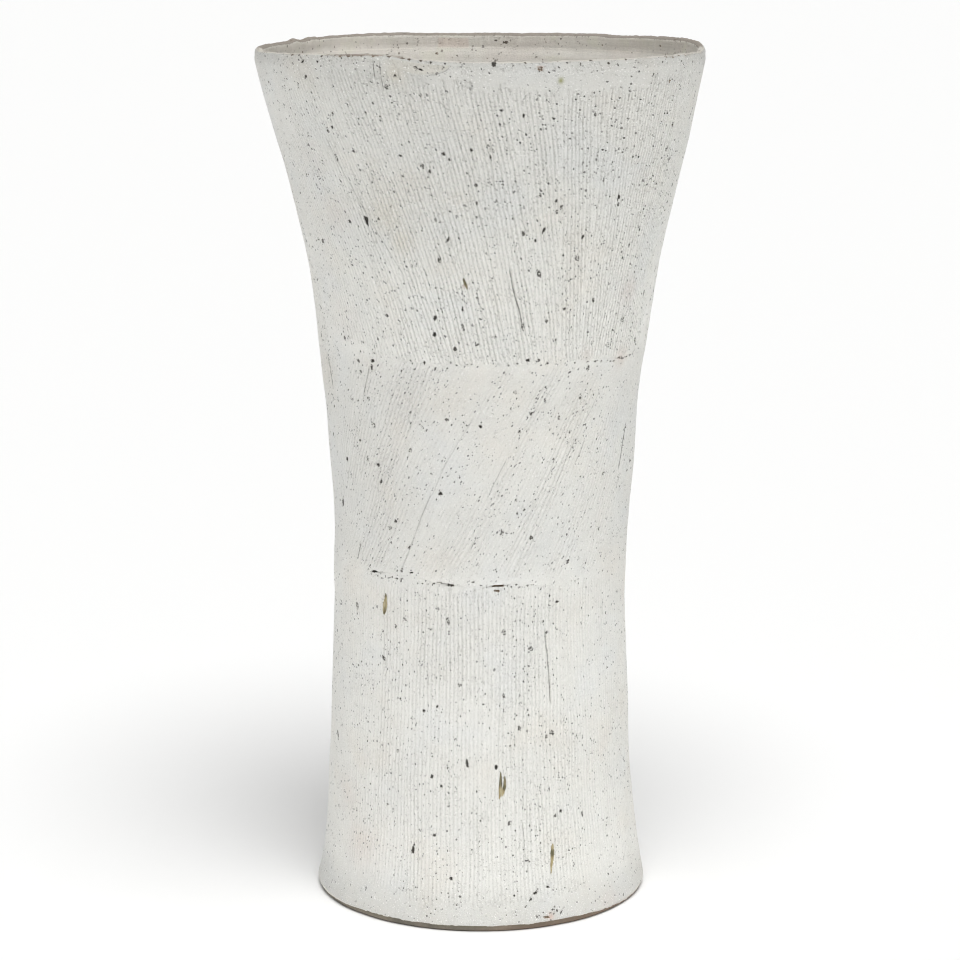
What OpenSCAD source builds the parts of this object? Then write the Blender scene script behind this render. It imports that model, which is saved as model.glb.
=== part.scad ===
// Tall hand-built stoneware vase.
//
// Three wall sections are stacked on a round base slab. Each section meets
// the one below it on a sloping scarf joint, and a thin coil of clay is
// pressed along the inside of every joint to hold it. The vase stands on
// its flat foot, and its mouth flares out to a narrow rounded lip.
//
// Frame: millimetres, +Z up, origin at the centre of the foot.

/* [Overall] */
// Height from the foot to the top of the lip
total_h = 450; // [400:1:500]
// Outside diameter of the lip
rim_d = 232.4; // [214:0.2:244]
// Outside diameter at the waist, the narrowest place
waist_d = 155.2; // [140:0.2:168]
// Height of the waist above the foot
waist_h = 160; // [140:1:185]
// Outside diameter at the bottom edge of the wall
foot_d = 179; // [170:0.2:188]

/* [Wall curve] */
// Where the mouth starts to flare, as a share of the way from waist to lip
flare_mid = 0.5; // [0.42:0.01:0.58]
// How gently the flare starts, as a share of the same height
flare_soft = 0.18; // [0.12:0.01:0.26]
// Diameter that the lower wall tapers to, before its foot spreads
taper_d = 165; // [158:0.2:169]
// Height over which the foot spreads
foot_spread = 27; // [18:1:34]

/* [Wall] */
// Wall thickness at the foot
wall_foot = 8.6; // [7:0.1:10]
// Wall thickness just below the lip
wall_top = 6.2; // [5.4:0.1:7]
// Thickness of the rounded lip
lip_t = 4.2; // [3.6:0.1:5]
// Height over which the wall thins to the lip
lip_taper = 32; // [20:1:45]
// Height of the upright part of the lip
lip_upright = 7; // [5:0.5:10]

/* [Base] */
// Thickness of the base slab inside the wall
slab_t = 10; // [8:0.5:13]
// Height of the bare edge of the slab that shows below the wall
slab_edge = 3.5; // [2.5:0.1:5]
// How far that edge slopes in towards the foot
edge_bevel = 1.4; // [0.8:0.1:2.2]
// Leg of the coil pressed into the corner between slab and wall
floor_coil_w = 9; // [6:0.5:12]

/* [Joints] */
// Height of the joint between the lower and middle sections, outside
lower_joint_z = 183; // [168:1:198]
// Height of the joint between the middle and upper sections, outside
upper_joint_z = 298; // [282:1:314]
// Rise of each scarf joint from the outside to the inside
scarf_rise = 5; // [3:0.5:7]
// Half height of the coil pressed along the inside of each joint
coil_half = 8; // [6:0.5:10]
// How far that coil stands in from the wall
coil_bulge = 3.4; // [2:0.1:4.5]

/* [Finish] */
// Colour of the slip that coats the outside
slip_color = [0.87, 0.86, 0.83]; // [0:0.01:1]
// Colour of the bare clay of the foot and the joint coils
clay_color = [0.50, 0.45, 0.39]; // [0:0.01:1]

/* [Hidden] */
$fn = 180;

// The wall curve is smooth, and is cut into straight stretches this tall.
// All pieces read the same stretches, so their faces meet exactly.
step = 6;
// Facets of each rounded edge in section
arc_n = 10;

waist_r = waist_d / 2;
// The curve aims a little past the lip, because the lip turns upright.
mouth_r = rim_d / 2 + 1.6;
foot_r = foot_d / 2;
taper_r = taper_d / 2;

function softplus(x) = ln(1 + exp(x));

// 0 at the waist and 1 at the lip: slow at first, then a straight flare
function flare(u) =
    let (at = function (v) softplus((v - flare_mid) / flare_soft))
    (at(u) - at(0)) / (at(1) - at(0));

// Outside radius of the smooth curve at height z
function curve_r(z) =
    (z >= waist_h
        ? waist_r + (mouth_r - waist_r)
            * flare((z - waist_h) / (total_h - waist_h))
        : waist_r + (taper_r - waist_r)
            * pow((waist_h - z) / waist_h, 0.95))
    + (foot_r - taper_r) * exp(-z / foot_spread);

function smooth01(x) =
    let (t = min(1, max(0, x))) t * t * (3 - 2 * t);

// Wall thickness at height z
function thick(z) =
    let (t = wall_foot + (wall_top - wall_foot) * z / total_h)
    t + (lip_t - t) * smooth01((z - (total_h - lip_taper)) / (lip_taper - lip_t));

// The upright lip holds the outside radius back to rim_d / 2.
function outer_at(z) = min(curve_r(z), rim_d / 2);
function inner_at(z) = outer_at(z) - thick(z);

// Straight stretches between heights that are whole steps
function between(z, lo, hi, a) = lo + (hi - lo) * (z - a) / step;
function outer_r(z) =
    let (a = floor(z / step) * step)
    between(z, outer_at(a), outer_at(a + step), a);
function inner_r(z) =
    let (a = floor(z / step) * step)
    between(z, inner_at(a), inner_at(a + step), a);

// Heights from z0 to z1: both ends, and every whole step between them
function heights(z0, z1) = [
    z0,
    for (k = [floor(z0 / step) + 1 : ceil(z1 / step) - 1]) k * step,
    z1
];
function reversed(v) = [for (i = [len(v) - 1 : -1 : 0]) v[i]];

function outside(z0, z1) = [for (z = heights(z0, z1)) [outer_r(z), z]];
function inside(z0, z1) = [for (z = heights(z0, z1)) [inner_r(z), z]];

module turned(points) {
    rotate_extrude() polygon(points);
}

// One wall section between two scarf joints, each given by its outside height
module wall_section(z0, z1, rise0, rise1) {
    turned(concat(outside(z0, z1), reversed(inside(z0 + rise0, z1 + rise1))));
}

// A flattened coil that lies on the inside of the wall around height zc
module joint_coil(zc) {
    z0 = zc - coil_half;
    z1 = zc + coil_half;
    wall = inside(z0, z1);
    face = [
        for (i = [1 : 2 * arc_n - 1])
            let (t = i / (2 * arc_n))
            [
                inner_r(z1) + (inner_r(z0) - inner_r(z1)) * t
                    - coil_bulge * (1 - pow(2 * t - 1, 2)),
                z1 + (z0 - z1) * t
            ]
    ];
    turned(concat(wall, face));
}

// Round slab with a raised middle: the wall stands on the ledge around it,
// and the edge of the ledge stays bare below the slip.
module floor_slab() {
    color(clay_color)
    turned(concat(
        [[0, 0], [outer_r(slab_edge) - edge_bevel, 0]],
        [[outer_r(slab_edge), slab_edge]],
        inside(slab_edge, slab_t),
        [[0, slab_t]]
    ));
}

// Coil pressed into the corner between the slab and the wall
module floor_coil() {
    z1 = slab_t + floor_coil_w;
    r0 = inner_r(slab_t) - floor_coil_w;
    color(clay_color)
    turned(concat(
        [[r0, slab_t]],
        inside(slab_t, z1),
        [
            for (i = [1 : arc_n - 1])
                let (a = 90 * i / arc_n)
                [
                    r0 + (inner_r(z1) - r0) * cos(a),
                    z1 - floor_coil_w * sin(a)
                ]
        ]
    ));
}

module lower_wall() {
    color(slip_color)
    wall_section(slab_edge, lower_joint_z, 0, scarf_rise);
}

module lower_joint_coil() {
    color(clay_color)
    joint_coil(lower_joint_z + scarf_rise);
}

module middle_wall() {
    color(slip_color)
    wall_section(lower_joint_z, upper_joint_z, scarf_rise, scarf_rise);
}

module upper_joint_coil() {
    color(clay_color)
    joint_coil(upper_joint_z + scarf_rise);
}

// The top section ends in a lip that is upright outside and round on top.
module upper_wall() {
    lip_r = lip_t / 2;
    lip_z = total_h - lip_r;
    up_z = total_h - lip_upright;
    mid_r = rim_d / 2 - lip_r;
    color(slip_color)
    turned(concat(
        outside(upper_joint_z, up_z),
        [[rim_d / 2, lip_z]],
        [
            for (i = [1 : arc_n - 1])
                let (a = 180 * i / arc_n)
                [mid_r + lip_r * cos(a), lip_z + lip_r * sin(a)]
        ],
        [[mid_r - lip_r, lip_z]],
        reversed(inside(upper_joint_z + scarf_rise, up_z))
    ));
}

floor_slab();
floor_coil();
lower_wall();
lower_joint_coil();
middle_wall();
upper_joint_coil();
upper_wall();
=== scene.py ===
import math
import bpy
import numpy as np
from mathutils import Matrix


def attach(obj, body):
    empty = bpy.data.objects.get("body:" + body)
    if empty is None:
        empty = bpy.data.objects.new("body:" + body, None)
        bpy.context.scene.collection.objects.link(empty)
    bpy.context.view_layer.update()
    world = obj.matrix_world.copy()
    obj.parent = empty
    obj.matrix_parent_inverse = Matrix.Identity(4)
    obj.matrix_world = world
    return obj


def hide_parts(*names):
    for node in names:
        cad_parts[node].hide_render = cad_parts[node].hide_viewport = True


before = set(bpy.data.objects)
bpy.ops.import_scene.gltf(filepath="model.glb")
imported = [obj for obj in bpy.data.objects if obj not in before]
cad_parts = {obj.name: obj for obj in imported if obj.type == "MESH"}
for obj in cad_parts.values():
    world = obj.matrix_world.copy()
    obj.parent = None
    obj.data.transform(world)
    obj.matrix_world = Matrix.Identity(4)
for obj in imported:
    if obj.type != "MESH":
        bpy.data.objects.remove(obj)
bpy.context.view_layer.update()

TAU = 2.0 * math.pi
MM = 0.001

# ---------------------------------------------------------------------------
# The wall curve, in millimetres: the same rule as the construction's solids
# ---------------------------------------------------------------------------
TOTAL_H = 450.0
RIM_R = 116.2
WAIST_R = 77.6
WAIST_H = 160.0
FOOT_R = 89.5
TAPER_R = 82.5
MOUTH_R = RIM_R + 1.6
FLARE_MID = 0.5
FLARE_SOFT = 0.18
FOOT_SPREAD = 27.0
WALL_FOOT = 8.6
WALL_TOP = 6.2
LIP_T = 4.2
LIP_TAPER = 32.0
SLAB_T = 10.0
SLAB_EDGE = 3.5
EDGE_BEVEL = 1.4
FLOOR_COIL_W = 9.0
SCARF_RISE = 5.0
COIL_HALF = 8.0
COIL_BULGE = 3.4
LOWER_Z = 183.0
UPPER_Z = 298.0
PITCH = 2.1


def softplus(x):
    return np.log1p(np.exp(x))


def flare(u):
    def at(v):
        return softplus((v - FLARE_MID) / FLARE_SOFT)
    return (at(u) - at(0.0)) / (at(1.0) - at(0.0))


def curve_r(z):
    z = np.asarray(z, dtype=float)
    up = WAIST_R + (MOUTH_R - WAIST_R) * flare(
        np.clip((z - WAIST_H) / (TOTAL_H - WAIST_H), 0.0, None))
    down = (TAPER_R - WAIST_R) * np.power(
        np.clip((WAIST_H - z) / WAIST_H, 0.0, None), 0.95)
    return up + down + (FOOT_R - TAPER_R) * np.exp(-z / FOOT_SPREAD)


def smooth01(x):
    t = np.clip(x, 0.0, 1.0)
    return t * t * (3.0 - 2.0 * t)


def thick(z):
    t = WALL_FOOT + (WALL_TOP - WALL_FOOT) * z / TOTAL_H
    return t + (LIP_T - t) * smooth01(
        (z - (TOTAL_H - LIP_TAPER)) / (LIP_TAPER - LIP_T))


def outer_r(z):
    return np.minimum(curve_r(z), RIM_R)


def inner_r(z):
    return outer_r(z) - thick(z)


# ---------------------------------------------------------------------------
# Smooth curves through a few given points, and seeded noise
# ---------------------------------------------------------------------------
def through(x, points, period=None):
    """A smooth curve through (position, value) points."""
    p = np.array(points, dtype=float)
    px, py = p[:, 0], p[:, 1]
    x = np.asarray(x, dtype=float)
    if period:
        px = np.concatenate([px - period, px, px + period])
        py = np.tile(py, 3)
        x = (x - p[0, 0]) % period + p[0, 0]
    m = np.gradient(py, px)
    k = np.clip(np.searchsorted(px, x) - 1, 0, len(px) - 2)
    h = px[k + 1] - px[k]
    t = np.clip((x - px[k]) / h, 0.0, 1.0)
    t2, t3 = t * t, t * t * t
    return ((2 * t3 - 3 * t2 + 1) * py[k] + (t3 - 2 * t2 + t) * h * m[k]
            + (3 * t2 - 2 * t3) * py[k + 1] + (t3 - t2) * h * m[k + 1])


def noise2(th, z, around, dz, seed, turn=0.0):
    """Value noise on the wall: around cells in a turn, dz millimetres tall.
    turn leans the cells, in cells per cell of height."""
    rng = np.random.default_rng(seed)
    rows = int(620.0 / dz) + 8
    grid = rng.uniform(-1.0, 1.0, (rows, around))
    y = (z + 60.0) / dz
    x = th / TAU * around + turn * y
    i = np.floor(x).astype(np.int64)
    j = np.clip(np.floor(y).astype(np.int64), 0, rows - 2)
    fx, fy = x - i, np.clip(y - j, 0.0, 1.0)
    fx = fx * fx * fx * (fx * (fx * 6 - 15) + 10)
    fy = fy * fy * fy * (fy * (fy * 6 - 15) + 10)
    i0, i1 = i % around, (i + 1) % around
    a = grid[j, i0] * (1 - fx) + grid[j, i1] * fx
    b = grid[j + 1, i0] * (1 - fx) + grid[j + 1, i1] * fx
    return a * (1 - fy) + b * fy


def iso(th, z, size, seed, stretch=1.0, turn=0.0):
    """Noise with cells about size millimetres wide, stretch times as tall."""
    return noise2(th, z, max(3, int(round(TAU * 86.0 / size))),
                  size * stretch, seed, turn)


def fbm(th, z, size, seed, octaves=3, stretch=1.0):
    total, amp = 0.0, 1.0
    for k in range(octaves):
        total = total + amp * iso(th, z, size / 2 ** k, seed + 17 * k, stretch)
        amp *= 0.5
    return total / (2.0 - 0.5 ** (octaves - 1))


def noise1(x, step, seed):
    rng = np.random.default_rng(seed)
    grid = rng.uniform(-1.0, 1.0, 4096)
    x = np.asarray(x, dtype=float) / step + 1000.0
    i = np.floor(x).astype(np.int64)
    f = x - i
    f = f * f * (3 - 2 * f)
    return grid[i % 4096] * (1 - f) + grid[(i + 1) % 4096] * f


def wrap(a):
    return (a + math.pi) % TAU - math.pi


def hash01(i, seed):
    rng = np.random.default_rng(seed)
    grid = rng.uniform(0.0, 1.0, 512)
    return grid[np.asarray(i, dtype=np.int64) % 512]


# ---------------------------------------------------------------------------
# Shape of the whole body that the hand gave it
# ---------------------------------------------------------------------------
# Angles are in degrees about +Z from the front (-Y), positive towards +X.
LEAN_X = [(0, -0.1), (22, -0.1), (45, -0.4), (67, -0.9), (90, -0.7),
          (134, -0.6), (178, -0.5), (200, 0.3), (222, 0.65), (255, 0.4),
          (276, 0.35), (297, 1.0), (319, 1.5), (350, 1.7), (381, 1.4),
          (402, 0.9), (423, -0.1), (443, -0.5), (456, -0.6)]
SWELL = [(0, 0.0), (20, 0.15), (45, 0.1), (78, 0.0), (101, 0.3), (134, 0.1),
         (156, 0.0), (178, 0.1), (191, -0.35), (211, -0.3), (233, 0.35),
         (246, 0.25), (265, -0.1), (286, 0.2), (298, 0.4), (309, 0.15),
         (329, -0.3), (340, -0.5), (352, -0.3), (371, 0.0), (391, 0.0),
         (404, 0.35), (420, 0.35), (436, 0.25), (446, 0.0), (456, 0.0)]
RIM_LIFT = [(-98, -0.6), (-86, -0.7), (-74, -0.6), (-63, 0.2), (-55, 0.6),
            (-48, 0.9), (-40, 1.7), (-31, 2.4), (-24, 2.8), (-20.5, 2.4),
            (-17, 1.3), (-13.5, 0.5), (-9, 0.0), (-3, -0.5), (8, -0.6),
            (20, -0.4), (36, -0.55), (46, -0.4), (57, -0.6), (67, -1.0),
            (76, -1.0), (88, 0.3), (99, 1.6), (106, 1.8), (114, 1.4),
            (123, 0.9), (133, 0.45), (141, 0.2), (147, 0.4), (163, -0.1),
            (186, -0.3), (197, 0.0), (207, 0.5), (214, 0.6), (220, 0.7),
            (225, 0.5), (230, 0.1), (238, -0.7), (248, -0.8), (256, -0.8)]
UPPER_SEAM = [(-73, 299.7), (-53, 299.4), (-40, 298.8), (-29, 297.9),
              (-18, 298.2), (-4, 297.5), (7, 297.7), (17, 297.4),
              (30, 297.7), (45, 296.8), (60, 296.3), (76, 294.6),
              (100, 294.2), (140, 296.0), (180, 298.2), (230, 299.4),
              (260, 300.0)]
LOWER_SEAM = [(-61, 183.1), (-50, 183.8), (-38, 184.6), (-30, 184.9),
              (-21, 184.0), (-10, 182.4), (7, 182.0), (20, 181.0),
              (27, 180.8), (32, 182.8), (53, 183.2), (75, 183.4),
              (110, 184.4), (150, 183.0), (190, 181.6), (240, 182.2),
              (275, 183.4)]


def deg(th):
    return np.degrees(th)


def seen(a, z):
    """Angle on the leaning body, in degrees, of a mark that shows at angle a
    from the front. Marks on the far side keep their angle."""
    a = np.asarray(a, dtype=float)
    z = np.asarray(z, dtype=float)
    s = np.sin(np.radians(a)) - through(z, LEAN_X) / outer_r(z)
    return np.where(np.abs(a) < 76.0,
                    np.degrees(np.arcsin(np.clip(s, -1.0, 1.0))), a)


def rim_lift(th):
    lift = through(deg(wrap(th)), RIM_LIFT, 360.0)
    a = deg(wrap(th)) % 360.0
    # Two small lumps and a nick on the far side of the rim
    lift = lift + 1.0 * np.exp(-((a - 241.4) / 1.9) ** 2)
    lift = lift + 0.7 * np.exp(-((a - 233.5) / 2.2) ** 2)
    lift = lift - 0.5 * np.exp(-((a - 230.6) / 0.5) ** 2)
    lift = lift + 0.10 * noise1(a, 1.7, 61) + 0.10 * noise1(a, 5.0, 62)
    return lift


def unlifted(a, z):
    """Height, before the rim is lifted, of a mark that shows at height z."""
    return float(z - rim_lift(np.radians(a)) * smooth01((z - 372.0) / 74.0))


def seam_z(th, which):
    pts = UPPER_SEAM if which == "upper" else LOWER_SEAM
    s = 0 if which == "upper" else 500
    a = deg(th) % 360.0
    z = through(deg(wrap(th)), pts, 360.0)
    tear = noise2(th, 0 * th, 64, 20.0, 801 + s)
    z = z + 0.55 * tear * np.abs(tear) * 1.6
    z = z + 0.30 * noise2(th, 0 * th, 150, 20.0, 803 + s)
    z = z + 0.16 * noise2(th, 0 * th, 420, 20.0, 805 + s)
    return z


# ---------------------------------------------------------------------------
# Comb strokes: each is one pull of a toothed scraper
# ---------------------------------------------------------------------------
def stroke(a, lean, width, z0, z1, strength, seed, bend=0.0):
    return dict(a=math.radians(a), lean=math.radians(lean), width=width,
                z0=z0, z1=z1, strength=strength, seed=seed, bend=bend)


def upper_strokes():
    out = []
    rng = np.random.default_rng(11)
    for a, lean, w, z0, z1, s in [
            (-66, -17, 26, 308, 404, 0.40), (-56, -17, 26, 302, 410, 0.55),
            (-45, -17, 28, 296, 437, 0.62), (-34, -17, 30, 296, 445, 0.85),
            (-23, -16, 30, 296, 446, 1.05), (-12, -14, 31, 296, 444, 1.10),
            (-1, -13, 31, 296, 443, 1.08), (10, -12, 31, 296, 441, 1.02),
            (21, -10, 30, 296, 438, 1.00), (31, -6, 30, 296, 437, 1.12),
            (42, -2, 30, 296, 439, 1.15), (53, 3, 31, 296, 443, 1.15),
            (64, 6, 30, 296, 441, 1.10)]:
        out.append(stroke(a, lean, w, z0, z1, s, 300 + len(out)))
    a = 76.0
    while a < 286.0:
        out.append(stroke(a, rng.uniform(-15, 2), rng.uniform(26, 32), 296,
                          rng.uniform(428, 443), rng.uniform(0.6, 1.1),
                          300 + len(out)))
        a += rng.uniform(10.0, 12.5)
    return out


def middle_strokes():
    out = []
    rng = np.random.default_rng(12)
    for a, lean, w, z0, z1, s in [
            (-74, 20, 28, 184, 298, 0.15), (-60, 20, 30, 196, 299, 0.32),
            (-46, 22, 30, 188, 299, 0.70), (-33, 24, 30, 190, 299, 0.90),
            (-21, 26, 30, 186, 298, 0.72), (-9, 28, 28, 184, 296, 0.46),
            (3, 29, 30, 184, 298, 0.44), (15, 28, 30, 186, 298, 0.56),
            (27, 26, 30, 186, 298, 0.70), (39, 24, 30, 184, 298, 0.66),
            (51, 21, 30, 188, 298, 0.50), (64, 19, 30, 184, 298, 0.45)]:
        out.append(stroke(a, lean, w, z0, z1, s, 400 + len(out)))
    a = 77.0
    while a < 278.0:
        out.append(stroke(a, rng.uniform(20, 28), rng.uniform(26, 31), 184,
                          298, rng.uniform(0.35, 0.9), 400 + len(out)))
        a += rng.uniform(11.5, 14.0)
    return out


def lower_strokes():
    out = []
    rng = np.random.default_rng(13)
    for a, lean, w, z0, z1, s in [
            (-75, 2, 28, 22, 182, 0.25), (-60, 3, 28, 20, 182, 0.34),
            (-46, 2, 28, 18, 182, 0.48), (-32, 1.5, 29, 14, 182, 0.85),
            (-17, 0.5, 31, 12, 182, 1.05), (-2, 0.5, 33, 12, 182, 1.05),
            (14, 0.5, 33, 12, 182, 0.95), (30, -0.5, 31, 14, 182, 0.98),
            (45, -1.0, 30, 18, 182, 0.74), (60, -1.0, 30, 20, 182, 0.60)]:
        out.append(stroke(a, lean, w, z0, z1, s, 500 + len(out)))
    a = 75.0
    while a < 274.0:
        out.append(stroke(a, rng.uniform(-3, 3), rng.uniform(28, 33),
                          rng.uniform(12, 20), 182, rng.uniform(0.5, 1.05),
                          500 + len(out)))
        a += rng.uniform(13.0, 16.5)
    return out


def comb(th, z, strokes):
    """Height in mm, how deep in a groove (0 to 1), the number of grooves
    across, how strong they are and how hard the scraper was pressed, strokes
    lying over earlier ones."""
    h = np.zeros_like(th)
    g = np.zeros_like(th)
    count = np.zeros_like(th)
    strong = np.zeros_like(th)
    press = np.zeros_like(th)
    r = outer_r(z)
    for s in strokes:
        zc = 0.5 * (s["z0"] + s["z1"])
        d = wrap(th - s["a"])
        b = r * d - math.tan(s["lean"]) * (z - zc)
        sd = s["seed"]
        b = b + 0.55 * noise1(z, 34.0, sd) + 0.22 * noise1(z, 11.0, sd + 50)
        b = b + s["bend"] * ((z - zc) / 60.0) ** 2
        b = b * math.cos(s["lean"])
        half = 0.5 * s["width"]
        sel = np.nonzero((np.abs(b) < half + 1.3) & (z > s["z0"] - 6)
                         & (z < s["z1"] + 4))
        if not len(sel[0]):
            continue
        bb, zz = b[sel], z[sel]
        phase = bb / PITCH + hash01(0, sd + 7)
        k = np.floor(phase + 0.5).astype(np.int64)
        # each tooth wanders a little on its own
        f = phase - k + 0.06 * noise1(zz + 97.0 * (k % 37), 7.0, sd + 3)
        valley = np.power(0.5 + 0.5 * np.cos(TAU * np.clip(f, -0.5, 0.5)), 1.5)
        deep = 0.78 + 0.36 * hash01(k, sd + 9)
        deep = deep * (1.0 + 0.24 * noise1(zz + 53.0 * (k % 41), 9.0, sd + 5))
        end = 3.5 * hash01(k, sd + 11)
        e = half - np.abs(bb)
        side = smooth01(e / 0.8)
        ends = smooth01((zz - s["z0"] - end) / 3.0 + 0.5)
        ends = ends * smooth01((s["z1"] - end * 1.6 - zz) / 5.0 + 0.5)
        m = side * ends
        fade = s["strength"] * deep
        hs = -0.42 * valley * fade + 0.08 * fade
        off = 0.07 * (hash01(1, sd + 13) - 0.5) * 2.0
        h[sel] = h[sel] * (1 - m) + (hs + off) * m
        g[sel] = g[sel] * (1 - m) + valley * fade * m
        # the count changes from one stroke to the next where both are faint
        own = m > 0.5
        dip = 1 - (1 - smooth01(np.abs(e - 0.4) / 1.1)) * ends
        dip = dip * (1 - (1 - smooth01(np.abs(ends - 0.5) * 3.0)) * side)
        count[sel] = np.where(own, k + f, count[sel])
        strong[sel] = np.where(own, fade, strong[sel]) * dip
        press[sel] = press[sel] * (1 - m) + s["strength"] * m
    return h, g, count, strong, press


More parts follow.
